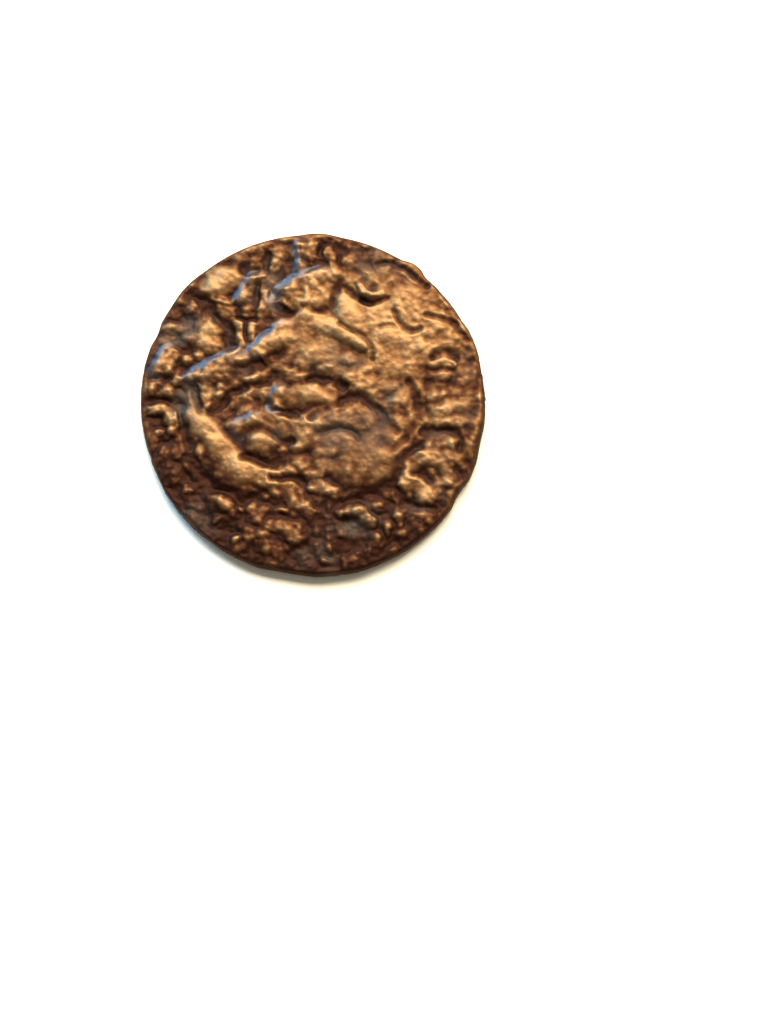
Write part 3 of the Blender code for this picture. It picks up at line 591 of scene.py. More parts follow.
        # Robe over the thighs and knees
        die.scarp((-4.65, -1.75), (-4.3, -1.3), (-3.8, -1.0), width=0.7, back=0.9, height=self.scarp)
        die.ridge((-4.7, -1.3), (-4.0, -0.8), (-3.0, -1.0), (-1.85, -1.35), (-0.8, -1.85), (-0.2, -2.4),
                  width=0.95, height=self.fold * 1.35)
        die.groove((-4.6, -2.0), (-4.0, -1.55), (-3.25, -1.5), (-2.55, -1.9), (-1.85, -2.4), (-1.25, -2.5),
                   width=0.36, depth=self.cut * 0.7)
        die.dome(-3.3, -2.4, 2.6, 2.2, self.knee, turn=-25, slope=Slope.FLAT_TOPPED)
        die.ridge((-0.6, -1.7), (0.2, -1.1), (0.9, -0.75), (1.8, -0.65), (2.6, -0.9), (3.2, -1.2),
                  width=1.05, height=self.fold * 1.3)
        die.groove((0.3, -1.9), (1.05, -1.6), (1.9, -1.55), (2.6, -1.9), (2.9, -2.3), width=0.38,
                   depth=self.cut * 0.5)
        die.dome(1.7, -2.6, 2.9, 2.0, self.knee, slope=Slope.FLAT_TOPPED)

    def cut_skirt(self, die: DieFace) -> None:
        """Cut her skirt below the knees, down to the hem.

        Args:
            die: the face of the die.
        """
        die.dome(-0.9, -2.9, 1.4, 1.2, self.knee * 1.1)
        die.dome(-1.9, -3.1, 1.0, 0.9, self.fold)
        die.dome(-0.3, -4.0, 4.6, 1.9, self.body * 0.8, slope=Slope.FLAT_TOPPED)
        die.ridge((0.2, -3.25), (1.3, -3.25), width=0.5, height=self.fold * 1.6)
        die.groove((-4.2, -3.4), (-3.4, -3.8), (-2.6, -3.85), (-1.9, -3.8), width=0.5, depth=self.cut)
        die.ridge((-0.3, -4.6), (0.5, -4.5), width=0.4, height=self.fold * 1.3)
        die.groove((-2.5, -4.85), (-1.2, -4.8), (0.0, -5.05), (0.4, -5.2), width=0.42, depth=self.cut * 1.1)

    def on_face(self, side: int, *places: Point) -> list[Point]:
        """Find places on the maiden's face.

        Args:
            side: 1 for the viewer's right half, -1 for the left one.
            places: how far out and up from its middle, in eighths of its height.

        Returns:
            The same places, in millimetres from the die's middle.
        """
        x, y = self.face_middle
        unit = self.face_height / 8
        return [(x + side * out * unit, y + up * unit) for out, up in places]

    def cut_face(self, face: DieFace) -> None:
        """Cut a calm, worn face: the eyes at half its height, then nose, mouth, chin, hair.

        Args:
            face: the face of the die.
        """
        at, unit, high = self.on_face, self.face_height / 8, self.feature
        for side in (-1, 1):
            # Socket and closed lid, brow and cheek
            face.groove(*at(side, (0.8, 0.1), (2.2, 0.0)), width=1.1 * unit, depth=high)
            face.ridge(*at(side, (1.1, -0.1), (2.0, -0.1)), width=0.6 * unit, height=high * 0.9)
            face.ridge(*at(side, (0.5, 1.1), (1.6, 1.4), (2.7, 1.0)), width=0.7 * unit, height=high * 0.7)
            face.dome(*at(side, (1.8, -1.9))[0], 2.6 * unit, 2.6 * unit, high * 0.6)
            # Hair, parted in the middle, down both sides
            face.ridge(*at(side, (0.3, 3.7), (2.4, 3.0), (3.6, 0.8), (3.6, -1.8)), width=1.2 * unit,
                       height=high)
        face.ridge(*at(1, (0.0, 1.0), (0.0, -1.0), (0.0, -1.7)), width=0.8 * unit, height=high * 1.3)
        face.groove(*at(1, (-1.0, -2.6), (1.0, -2.6)), width=0.6 * unit, depth=high)
        face.dome(*at(1, (0.0, -3.5))[0], 2.2 * unit, 1.5 * unit, high)

    def cut_fence(self, die: DieFace) -> None:
        """Cut the round fence, a thick ring of wattle, with a gate at its foot.

        Args:
            die: the face of the die.
        """
        # Its left run, a bright crest with a sloping outer wall
        die.ridge((-7.5, -0.5), (-6.9, -1.3), (-6.3, -2.1), (-5.9, -2.8), (-5.15, -3.35), (-4.5, -4.1),
                  (-3.55, -4.6), (-2.6, -4.85), width=0.95, height=self.fence * 1.35)
        die.dome(-5.0, -4.5, 4.6, 2.4, self.fence * 0.9, turn=-38)
        die.groove((-7.6, -3.6), (-7.0, -4.4), (-5.8, -5.5), (-4.65, -6.0), (-3.5, -6.2), (-2.7, -6.2),
                   width=0.6, depth=self.cut)
        # Its right run, broad and worn smooth
        die.dome(3.9, -3.6, 6.2, 4.4, self.fence * 1.25, turn=28, slope=Slope.FLAT_TOPPED)
        die.groove((0.9, -6.65), (2.0, -6.5), (3.05, -6.15), (4.1, -5.65), (5.0, -5.2), width=0.62,
                   depth=self.cut * 1.3)
        die.groove((5.0, -5.2), (5.4, -4.6), (5.6, -3.7), (6.25, -3.15), (6.9, -2.7), width=0.5,
                   depth=self.cut)
        die.ridge((3.6, 1.6), (4.6, 0.9), (5.4, 0.0), (5.8, -1.0), width=1.5, height=self.fence * 0.95)
        die.groove((6.2, 1.4), (6.5, 0.7), (6.65, -0.1), (6.6, -0.85), (6.3, -1.5), (5.8, -2.2),
                   (5.2, -2.9), width=0.45, depth=self.cut * 0.9)
        # The gate
        die.ridge((0.1, -5.2), (0.8, -5.35), (1.4, -5.7), width=0.55, height=self.fence * 1.5)
        die.ridge((-2.3, -5.6), (-1.6, -5.45), (-1.0, -5.75), width=0.65, height=self.fence * 0.9)
        die.ridge((-0.9, -6.3), (-0.5, -6.6), (-0.2, -7.0), width=0.6, height=self.fence)
        die.dome(-1.2, -6.1, 2.8, 1.8, self.fence * 0.4)

    def cut_post(self, die: DieFace) -> None:
        """Cut what stands at the left of the garden: a hat on a staff, beads, a short post.

        Args:
            die: the face of the die.
        """
        die.dome(-6.85, 4.6, 2.3, 3.0, self.body * 1.1, turn=-12, slope=Slope.FLAT_TOPPED)
        die.scarp((-7.65, 1.75), (-6.7, 2.45), (-5.9, 2.9), (-5.2, 3.2), width=0.7, back=1.6,
                  height=self.scarp)
        die.groove((-7.3, 7.2), (-6.9, 6.6), (-6.1, 5.6), (-5.5, 4.9), (-5.35, 3.9), width=0.64,
                   depth=self.cut * 1.25)
        for step in range(4):
            die.ridge((-5.95, 2.35 - 0.55 * step), width=0.34, height=self.fold * 1.2)
        die.ridge((-6.7, 1.2), (-6.8, 0.6), (-6.75, 0.1), width=0.42, height=self.fold * 1.5)
        die.groove((-2.9, 1.45), (-3.5, 1.4), (-4.6, 1.0), (-5.4, 0.55), (-6.0, -0.1), (-6.5, -0.45),
                   width=0.5, depth=self.cut * 1.2)
        die.groove((-7.3, 1.4), (-7.4, 0.4), (-7.0, -0.5), width=0.4, depth=self.cut * 0.8)

    def cut_strokes_above(self, die: DieFace) -> None:
        """Cut the ring of worn strokes from the left side over the top; they spell nothing.

        Args:
            die: the face of the die.
        """
        # Broad worn boss and two slanting strokes at the upper left
        die.dome(-6.2, 8.35, 3.6, 2.4, self.stroke * 1.5, turn=32, slope=Slope.FLAT_TOPPED)
        die.groove((-4.5, 9.35), width=0.6, depth=self.cut * 1.6)
        die.groove((-4.2, 9.1), (-3.8, 9.0), width=0.6, depth=self.cut * 1.8)
        die.scarp((-4.65, 7.3), (-4.3, 8.0), (-3.9, 8.55), width=0.7, back=0.7, height=self.scarp)
        die.ridge((-3.9, 8.5), (-3.4, 8.85), width=0.4, height=self.stroke * 1.5)
        die.ridge((-6.4, 7.15), (-5.4, 7.05), width=0.4, height=self.stroke * 0.9)
        die.groove((-3.1, 10.2), (-3.15, 9.2), (-3.6, 8.4), (-3.75, 7.4), (-3.9, 6.4), width=0.32,
                   depth=self.cut * 0.9)
        die.groove((-4.9, 6.3), (-4.0, 6.2), (-3.0, 6.2), width=0.36, depth=self.cut * 0.7)
        die.ridge((-3.15, 7.4), (-3.25, 6.9), (-3.3, 6.3), width=0.5, height=self.stroke * 1.1)
        # Two upright bars, joined at the foot
        die.ridge((-4.85, 5.5), (-4.75, 4.8), (-4.6, 3.9), width=0.42, height=self.stroke * 1.3)
        die.ridge((-3.95, 5.4), (-4.0, 4.8), (-4.1, 3.9), width=0.42, height=self.stroke * 1.3)
        die.groove((-4.4, 5.6), (-4.4, 4.9), (-4.37, 4.3), width=0.2, depth=self.cut * 0.5)
        die.groove((-4.8, 5.95), (-4.3, 5.85), (-3.8, 5.9), width=0.4, depth=self.cut)
        # Above the head
        die.scarp((-0.9, 9.0), (-0.75, 9.8), (-0.85, 10.8), width=0.7, back=0.5, height=self.scarp * 0.9)
        die.dome(-0.15, 10.2, 1.3, 1.9, self.stroke * 1.3, turn=-6, slope=Slope.FLAT_TOPPED)
        die.groove((0.3, 10.3), (0.5, 10.8), (0.9, 11.2), width=0.4, depth=self.cut)
        die.ridge((0.85, 10.5), (1.1, 9.8), (1.4, 8.9), width=0.42, height=self.stroke)
        for x, y in ((-3.75, 10.25), (-2.4, 10.3), (-2.65, 9.4)):
            die.ridge((x, y - 0.1), (x, y + 0.1), width=0.5, height=self.stroke * 0.7)
        die.dome(2.1, 9.8, 1.2, 1.0, self.stroke * 0.8)
        die.groove((3.55, 9.45), width=0.6, depth=self.cut * 0.9)
        # A hook beside the head
        die.ridge((2.95, 7.9), (3.25, 7.5), (3.75, 7.3), (4.3, 7.45), width=0.34, height=self.stroke * 1.4)
        die.groove((3.8, 7.85), width=0.5, depth=self.cut * 0.7)
        die.groove((1.9, 7.9), (2.6, 7.35), (3.3, 6.95), width=0.34, depth=self.cut * 1.3)
        die.groove((3.1, 7.05), (3.7, 6.82), (4.2, 6.95), width=0.4, depth=self.cut * 1.4)
        die.groove((4.1, 6.95), (4.7, 7.1), width=0.28, depth=self.cut * 0.8)
        die.dome(2.3, 6.0, 1.9, 3.4, self.stroke * 1.1, turn=30, slope=Slope.FLAT_TOPPED)

    def cut_strokes_right(self, die: DieFace) -> None:
        """Cut the ring's strokes down the right side; they spell nothing.

        Args:
            die: the face of the die.
        """
        die.dome(6.0, 4.6, 9.0, 9.6, self.stroke * 0.7, slope=Slope.FLAT_TOPPED)
        die.groove((5.15, 6.1), (5.4, 5.4), (5.9, 4.9), (6.4, 4.75), (6.8, 4.95), width=0.32,
                   depth=self.cut * 0.9)
        die.groove((4.2, 5.0), (4.8, 5.15), (5.3, 5.05), width=0.28, depth=self.cut * 0.6)
        die.groove((4.0, 9.55), (5.0, 9.5), (6.0, 9.0), (6.7, 8.4), (7.2, 7.9), width=0.3,
                   depth=self.cut * 0.95)
        die.ridge((5.45, 6.7), (5.65, 5.8), width=0.4, height=self.stroke)
        die.ridge((6.6, 5.65), width=0.45, height=self.stroke)
        die.groove((7.3, 5.85), (8.1, 5.65), (8.85, 5.4), (9.3, 4.9), (9.7, 4.2), width=0.34,
                   depth=self.cut)
        for x, y in ((7.4, 4.7), (8.3, 4.8), (4.6, 4.4), (5.3, 4.3)):
            die.ridge((x - 0.25, y), (x + 0.25, y), width=0.5, height=self.stroke)
        die.ridge((5.9, 3.4), (6.4, 3.6), (6.9, 3.9), width=0.5, height=self.stroke)
        die.groove((7.6, 3.15), (8.0, 3.35), (8.4, 3.4), (8.8, 3.25), (9.1, 3.05), width=0.4,
                   depth=self.cut * 1.2)
        die.ridge((7.6, 2.6), (8.3, 2.75), (8.9, 2.6), width=0.4, height=self.stroke * 1.2)
        # Three short bars across, one under another
        for y, left, right in ((1.85, 7.3, 8.9), (0.6, 7.0, 8.3)):
            die.dome((left + right) / 2, y, right - left + 0.9, 1.0, self.stroke * 0.8)
        for y in (2.2, 1.4):
            die.groove((7.3, y), (9.0, y), width=0.26, depth=self.cut * 0.3)
        # A block with an arm above and below
        die.dome(8.6, -0.75, 2.9, 2.1, self.stroke * 1.1, slope=Slope.FLAT_TOPPED)
        die.ridge((8.0, -1.25), (8.7, -1.3), (9.4, -1.2), width=0.5, height=self.stroke * 1.2)
        die.dome(8.0, -0.3, 0.9, 0.8, self.stroke)
        die.dome(9.1, -0.2, 0.9, 0.8, self.stroke)
        die.groove((7.0, -1.75), (8.1, -1.8), (8.9, -1.95), (9.2, -2.9), width=0.5, depth=self.cut * 1.3)
        for x, y in ((7.35, -2.75), (8.05, -2.65), (8.7, -2.6), (9.25, -3.65)):
            die.dome(x, y, 1.1, 1.0, self.stroke * 0.8)
        # A ring, open at the right
        die.ridge((8.3, -3.75), (7.5, -3.45), (6.6, -3.7), (5.9, -4.15), width=0.75,
                  height=self.stroke * 1.2)
        die.ridge((5.8, -4.7), (5.8, -5.2), width=0.55, height=self.stroke * 1.3)
        die.ridge((6.2, -5.2), (6.6, -5.65), (7.1, -6.1), width=0.85, height=self.stroke * 1.4)
        die.groove((6.4, -4.5), (7.0, -4.65), (7.5, -5.1), width=0.5, depth=self.cut)
        die.groove((5.3, -5.6), (5.8, -6.5), (6.6, -6.85), (7.5, -6.8), width=0.45, depth=self.cut)
        for x, y in ((8.4, -4.4), (8.45, -5.15)):
            die.dome(x, y, 1.1, 1.0, self.stroke)

    def cut_strokes_below(self, die: DieFace) -> None:
        """Cut the ring's strokes along the foot; they spell nothing.

        Args:
            die: the face of the die.
        """
        die.ridge((1.8, -7.0), (2.6, -6.9), width=0.55, height=self.stroke)
        die.ridge((2.9, -6.95), (3.3, -7.3), (3.7, -7.75), width=0.6, height=self.stroke * 1.4)
        die.groove((2.2, -7.55), (2.8, -7.6), width=0.45, depth=self.cut * 1.2)
        # Worn pads: middle, width and length
        for x, y, wide, tall in ((1.9, -8.3, 1.5, 1.2), (3.9, -8.5, 1.1, 1.1), (5.6, -8.3, 1.5, 1.2),
                                 (4.8, -8.2, 0.9, 1.0), (6.6, -7.4, 1.1, 1.0), (4.1, -6.8, 1.3, 1.1),
                                 (5.3, -7.3, 1.0, 0.9), (1.0, -9.4, 1.0, 0.9), (0.9, -10.1, 1.0, 0.8),
                                 (2.4, -10.0, 1.5, 0.8), (3.3, -9.6, 1.5, 1.0), (-0.9, -8.8, 1.5, 0.8),
                                 (-0.6, -9.7, 1.4, 0.8), (-2.7, -9.4, 1.4, 0.9), (-4.7, -8.7, 0.9, 0.8),
                                 (-3.0, -6.1, 1.0, 0.8), (-1.9, -6.9, 1.1, 0.8), (-6.0, -7.4, 1.1, 0.9)):
            die.dome(x, y, wide, tall, self.stroke * 1.1)
        die.groove((0.65, -6.9), (0.6, -8.0), (0.85, -9.2), (0.9, -10.2), width=0.4, depth=self.cut * 0.5)
        # Four strokes that slant down to the right, stepping out
        for x, y, across in ((-3.7, -6.75, 1.2), (-3.6, -7.5, 1.3), (-2.3, -7.75, 1.2), (-3.8, -8.4, 1.1)):
            die.ridge((x, y), (x + across / 2, y - 0.2), (x + across, y - 0.45), width=0.6,
                      height=self.stroke * 1.2)
        # A caret at the lower left
        die.ridge((-7.3, -6.75), (-6.7, -6.5), (-6.0, -6.3), width=0.7, height=self.stroke)
        die.ridge((-5.6, -6.35), (-5.1, -6.65), (-4.7, -7.0), width=0.6, height=self.stroke * 1.3)

    def cut_strokes_left(self, die: DieFace) -> None:
        """Cut the ring's strokes up the left side; they spell nothing.

        Args:
            die: the face of the die.
        """
        die.ridge((-10.4, -0.25), (-9.6, -0.2), (-9.0, -0.8), (-8.8, -1.6), width=0.55,
                  height=self.stroke * 1.2)
        die.groove((-10.0, -0.9), (-9.6, -0.75), width=0.4, depth=self.cut * 0.9)
        die.groove((-10.3, 0.3), (-9.3, 0.35), (-8.4, -0.2), (-8.1, -1.4), (-7.8, -2.6), width=0.5,
                   depth=self.cut)
        die.ridge((-10.0, 1.15), (-9.2, 0.8), width=0.6, height=self.stroke * 1.2)
        die.groove((-10.0, 1.9), (-9.2, 1.7), width=0.4, depth=self.cut * 0.9)
        die.ridge((-9.4, 2.3), (-9.2, 2.9), (-8.9, 3.4), width=0.55, height=self.stroke * 1.2)
        die.scarp((-9.95, 2.3), (-9.2, 3.55), width=0.7, back=0.6, height=self.scarp)
        for x, y, size in ((-8.55, 1.5, 0.5), (-8.05, 3.0, 0.5), (-7.3, 3.25, 0.5), (-9.6, -1.8, 0.35)):
            die.ridge((x, y), width=size, height=self.stroke)
        die.ridge((-9.3, 5.2), (-8.7, 5.05), (-8.0, 4.7), width=0.55, height=self.stroke)
        for x, y, wide, tall in ((-9.4, -3.2, 1.0, 1.5), (-8.45, -3.2, 1.1, 1.1), (-7.05, -3.1, 0.9, 1.1)):
            die.dome(x, y, wide, tall, self.stroke * 1.1)
        die.dome(-8.5, -4.9, 1.7, 1.4, self.stroke)
        die.dome(-7.6, -5.5, 1.5, 1.1, self.stroke)
        die.dome(-7.75, 6.2, 1.4, 1.2, self.stroke * 0.6)


@dataclass
class Reverse:
    """The hidden reverse: a wreath tied at its foot, with rows of worn strokes inside.

    Heights are in millimetres over the reverse's field.
    """

    height: float = 0.20
    recess: float = 0.14
    rim_width: float = 0.9
    boss_width: float = 2.0
    # Each branch of the wreath runs up one side: its first leaves' direction and its span, and
    # how far the leaves lean off its course, in degrees
    wreath_radius: float = 7.6
    branch_start: float = -76.0
    branch_span: float = 150.0
    leaf_pairs: int = 11
    leaf_length: float = 1.3
    leaf_width: float = 0.62
    leaf_lean: float = 40.0
    knot_reach: float = 1.2
    knot_width: float = 0.6
    # The rows of strokes: each one's height up the face, its strokes and their length
    rows: tuple[tuple[float, int, float], ...] = (
        (3.6, 4, 1.5), (1.9, 6, 1.2), (-1.9, 6, 1.2), (-3.8, 4, 1.5))
    stroke_pitch: float = 1.25
    stroke_width: float = 0.5
    stroke_lean: float = 0.2
    lump: float = 0.025
    wander: float = 0.13
    lumps: Lumps = Lumps(((2.4, 1.0), (1.1, 0.8), (0.55, 0.6), (0.3, 0.5)))
    wandering: Lumps = Lumps(((0.9, 1.0), (0.4, 0.6)))

    def relief(self, x: Array, y: Array, inset: Array) -> Array:
        """Strike the reverse.

        Args:
            x: the points of the face, in millimetres from its middle.
            y: the same, upwards.
            inset: how far each point is inside the flat of the rim, in millimetres.

        Returns:
            Heights over the plane that the coin rests on, in millimetres.
        """
        right = self.wander * self.wandering.height(x + WANDER_SHIFT, y)
        up = self.wander * self.wandering.height(x, y + WANDER_SHIFT)
        die = DieFace(x + right, y + up)
        self.cut_wreath(die)
        self.cut_rows(die)
        worn = die.raised + self.lump * self.lumps.height(x, y)
        rim = np.clip(2 - inset / self.rim_width, 0, 1)
        boss = np.clip(2 - 2 * np.hypot(x, y) / self.boss_width, 0, 1)
        raised = np.maximum(worn, 2 * self.recess * np.maximum(rim, boss))
        return np.clip(self.recess - raised, 0, None)

    def cut_wreath(self, die: DieFace) -> None:
        """Cut two branches, with leaves in pairs along each, and the knot at their foot.

        Args:
            die: the face of the die.
        """
        for side in (-1, 1):
            for step in range(self.leaf_pairs):
                turn = math.radians(self.branch_start + self.branch_span * step / (self.leaf_pairs - 1))
                x, y = side * self.wreath_radius * math.cos(turn), self.wreath_radius * math.sin(turn)
                for lean in (-self.leaf_lean, self.leaf_lean):
                    course = turn + math.radians(90 + lean)
                    tip = (x + side * self.leaf_length * math.cos(course),
                           y + self.leaf_length * math.sin(course))
                    die.ridge((x, y), tip, width=self.leaf_width, height=self.height)
        foot, reach = -self.wreath_radius, self.knot_reach
        die.ridge((-reach, foot - 0.7), (0, foot + 0.1), (reach, foot - 0.7), width=self.knot_width,
                  height=self.height)

    def cut_rows(self, die: DieFace) -> None:
        """Cut rows of short strokes; they spell nothing.

        Args:
            die: the face of the die.
        """
        for y, count, tall in self.rows:
            for step in range(count):
                x = (step - (count - 1) / 2) * self.stroke_pitch
                # Some lean left, some right and some stand, so that they look struck by hand
                lean = self.stroke_lean * (step * 7 % 3 - 1)
                die.ridge((x - lean, y - tall / 2), (x + lean, y + tall / 2), width=self.stroke_width,
                          height=self.height)


@dataclass
class Flan:
    """The blank disc that was struck, in millimetres: an oval with a worn edge."""

    width: float = 21.7
    length: float = 22.75
    turn: float = 20.0
    field: float = 0.95
    shoulder_width: float = 0.32
    shoulder_drop: float = 0.28
    foot_width: float = 0.30
    foot_rise: float = 0.20
    bulge: float = 0.06
    # Where the die's middle is, from the flan's
    strike_right: float = 0.05
    strike_up: float = -0.35
    # Bumps and dents: direction and half width in degrees, and height as a share of the radius
    edge_marks: tuple[tuple[float, float, float], ...] = (
        (20, 12, 0.012), (54, 6, 0.023), (88, 8, 0.011), (137, 10, 0.009), (156, 5, -0.011),
        (200, 14, -0.009), (262, 12, -0.010), (286, 6, 0.005), (326, 6, -0.014), (345, 8, -0.009))

    def radius(self, turn: Array) -> Array:
        """Measure the flan from its middle to its edge.

        Args:
            turn: directions, in radians.

        Returns:
            Radii in millimetres.
        """
        along = turn - math.radians(self.turn)
        radius = 1 / np.hypot(np.cos(along) * 2 / self.width, np.sin(along) * 2 / self.length)
        bumps = np.ones_like(turn)
        for direction, half_width, share in self.edge_marks:
            away = np.abs((np.degrees(turn) - direction + 180) % 360 - 180) / half_width
            bumps += share * bell(away)
        return radius * bumps


@dataclass
class Coin:
    """The coin as one fine closed mesh: both struck faces and the edge between them.

    The faces are rings of even triangles round a middle vertex.
    """

    flan: Flan = field(default_factory=Flan)
    obverse: Obverse = field(default_factory=Obverse)
    reverse: Reverse = field(default_factory=Reverse)
    obverse_rings: int = 128
    reverse_rings: int = 84
    shoulder_rows: int = 5
    wall_rows: int = 5
    foot_rows: int = 3
    edge_roughness: float = 0.035
    edge_lumps: Lumps = Lumps(((1.3, 1.0), (0.5, 0.7), (0.22, 0.5)))
    # How many rounds of smoothing the surface is held against to find its nicks and its hollows
    nick_rounds: int = 6
    hollow_rounds: int = 60
    # The darkening along the border, dark oxide and painted shade on the shoulder and the wall: how wide it
    # is, and how dark
    dark_oxide_and_shade_border: float = 1.2
    border_oxide_and_shade_darkness: float = 0.8

    @staticmethod
    def disc(rings: int) -> tuple[Array, Array, list[tuple[int, int, int]]]:
        """Lay out a disc of rings.

        Args:
            rings: how many rings there are round the middle vertex.

        Returns:
            Each vertex's share of the radius and its direction in radians, and the triangles.
        """
        share, turn, faces = [0.0], [0.0], []
        start = 1
        for ring in range(1, rings + 1):
            count = SECTORS * ring
            share.extend([ring / rings] * count)
            turn.extend((2 * math.pi * np.arange(count) / count).tolist())
            inner, before = start - SECTORS * (ring - 1), SECTORS * (ring - 1)
            if ring == 1:
                inner, before = 0, 1
            for sector in range(SECTORS):
                for step in range(ring):
                    a = start + (sector * ring + step) % count
                    b = start + (sector * ring + step + 1) % count
                    c = inner + (sector * (ring - 1) + step) % before
                    faces.append((c, a, b))
                    if step < ring - 1:
                        d = inner + (sector * (ring - 1) + step + 1) % before
                        faces.append((c, b, d))
            start += count
        return np.array(share), np.array(turn), faces

    @staticmethod
    def joined(upper: Array, lower: Array) -> list[tuple[int, int, int]]:
        """Fill the strip between two rings of vertices.

        Args:
            upper: the upper ring's vertex numbers, anticlockwise from the +X direction.
            lower: the lower ring's, which may be fewer.

        Returns:
            Triangles that face out.
        """
        faces, i, j = [], 0, 0
        m, n = len(upper), len(lower)
        while i < m or j < n:
            if j == n or (i < m and (i + 1) / m <= (j + 1) / n):
                faces.append((int(upper[i % m]), int(lower[j % n]), int(upper[(i + 1) % m])))
                i += 1
            else:
                faces.append((int(upper[i % m]), int(lower[j % n]), int(lower[(j + 1) % n])))
                j += 1
        return faces

    def upper_face(self) -> tuple[Array, list[tuple[int, int, int]], Array]:
        """Strike the obverse on its disc, with the rounded shoulder's rows after it.

        Returns:
            Places in millimetres, triangles, and the gloss of each vertex; the last vertices are
            the shoulder's lowest row.
        """
        flan = self.flan
        share, turn, faces = self.disc(self.obverse_rings)
        border = np.arange(len(share) - SECTORS * self.obverse_rings, len(share))
        radius = share * (flan.radius(turn) - flan.shoulder_width)
        over = np.ones_like(radius)
        for row in range(1, self.shoulder_rows + 1):
            lean = math.radians(90 * row / self.shoulder_rows)
            edge = flan.radius(turn[border])
            fresh = np.arange(len(turn), len(turn) + len(border))
            faces += self.joined(fresh - len(border), fresh)
            radius = np.append(radius, edge - flan.shoulder_width * (1 - math.sin(lean)))
            over = np.append(over, np.full(len(border), math.cos(lean)))
            turn = np.append(turn, turn[border])
        x, y = radius * np.cos(turn), radius * np.sin(turn)
        relief, gloss = self.obverse.relief(x - flan.strike_right, y - flan.strike_up,
                                            radius / flan.radius(turn), turn)
        wall_top = flan.field - flan.shoulder_drop
        z = wall_top + (flan.shoulder_drop + relief) * over
        return np.stack([x, y, z], axis=1), faces, gloss

    def lower_face(self) -> tuple[Array, list[tuple[int, int, int]]]:
        """Strike the reverse on its disc.

        Returns:
            Places in millimetres, and triangles that face down.
        """
        share, turn, faces = self.disc(self.reverse_rings)
        reach = self.flan.radius(turn) - self.flan.foot_width
        radius = share * reach
        x, y = radius * np.cos(turn), radius * np.sin(turn)
        z = self.reverse.relief(-x, y, reach - radius)
        return np.stack([x, y, z], axis=1), [(a, c, b) for a, b, c in faces]

    def edge_rows(self) -> Array:
        """Round the edge between the shoulder and the reverse, with the blank's rough cut.

        Returns:
            Places in millimetres, row after row from the top.
        """
        flan = self.flan
        around = SECTORS * self.obverse_rings
        turn = 2 * math.pi * np.arange(around) / around
        edge = flan.radius(turn)
        top, rows = flan.field - flan.shoulder_drop, []
        for row in range(1, self.wall_rows + self.foot_rows):
            down = min(row / self.wall_rows, 1.0)
            lean = math.radians(90 * max(row - self.wall_rows, 0) / self.foot_rows)
            z = top + (flan.foot_rise - top) * down - flan.foot_rise * math.sin(lean) ** 2
            bulge = flan.bulge * math.sin(math.pi * down)
            rough = self.edge_lumps.height(turn * edge, np.full_like(turn, z)) * math.sin(math.pi * down)
            radius = edge + bulge + self.edge_roughness * rough
            radius -= flan.foot_width * (1 - math.cos(lean))
            rows.append(np.stack([radius * np.cos(turn), radius * np.sin(turn),
                                  np.full_like(turn, z)], axis=1))
        return np.concatenate(rows)

    def build(self) -> bpy.types.Object:
        """Make the coin's object.

        Returns:
            The coin, in metres, with what its finish reads stored on its vertices.
        """
        upper, faces, gloss = self.upper_face()
        edge = self.edge_rows()
        lower, lower_faces = self.lower_face()
        around = SECTORS * self.obverse_rings
        row = np.arange(len(upper) - around, len(upper))
        for _ in range(len(edge) // around):
            faces += self.joined(row, row + around)
            row = row + around
        first_lower = len(upper) + len(edge)
        border = np.arange(len(lower) - SECTORS * self.reverse_rings, len(lower)) + first_lower
        faces += self.joined(row, border)
        faces += [(a + first_lower, b + first_lower, c + first_lower) for a, b, c in lower_faces]
        places = np.concatenate([upper, edge, lower])
        mesh = bpy.data.meshes.new("struck_coin")
        mesh.from_pydata((places * MM).tolist(), [], faces)
        mesh.update()
        mesh.shade_smooth()
        rubbed_and_shaded, greyed = self.patina(places, len(upper), first_lower)
        marks = {
            "relief": self.relief_over_field(places, len(upper), first_lower),
            "gloss": np.append(gloss, np.zeros(len(places) - len(upper))),
            "rubbed_and_shaded": rubbed_and_shaded,
            "greyed": greyed,
            "nick": self.hollows(mesh, places, self.nick_rounds),
            "hollow": self.hollows(mesh, places, self.hollow_rounds),
        }
        for name, values in marks.items():
            layer = mesh.attributes.new(name, "FLOAT", "POINT")
            layer.data.foreach_set("value", values.astype(np.float32))
        coin = bpy.data.objects.new("struck_coin", mesh)
        bpy.context.scene.collection.objects.link(coin)
        return coin

    def relief_over_field(self, places: Array, upper: int, lower: int) -> Array:
        """Tell how high each vertex stands over the field of its own face.

        Args:
            places: the vertices, in millimetres.
            upper: how many of them belong to the obverse and its shoulder.
            lower: the number of the first one of the reverse.

        Returns:
            Heights in millimetres, 0 on the edge.
        """
        relief = np.zeros(len(places))
        relief[:upper] = places[:upper, 2] - self.flan.field
        relief[lower:] = self.reverse.recess - places[lower:, 2]
        return relief

    def patina(self, places: Array, upper: int, lower: int) -> tuple[Array, Array]:
        """Tell how light or dark the colour is at each vertex, apart from the relief: patina, and painted
        light and shade.

        The edge is darkened from the shoulder down to the foot: dark oxide, and painted shade on the
        shoulder and the wall.

        Args:
            places: the vertices, in millimetres.
            upper: how many of them belong to the obverse and its shoulder.
            lower: the number of the first one of the reverse.

        Returns:
            Over 0 where it is lighter and under 0 where it is darker, from rubbed metal, kept oxide and
            painted light and shade; and the grey film, from 0 to 1.
        """
        x, y = places[:, 0] - self.flan.strike_right, places[:, 1] - self.flan.strike_up
        wear, film = self.obverse.patina.rubbed_and_shaded(x, y), self.obverse.patina.greyed(x, y)
        film[upper:] = 0.0
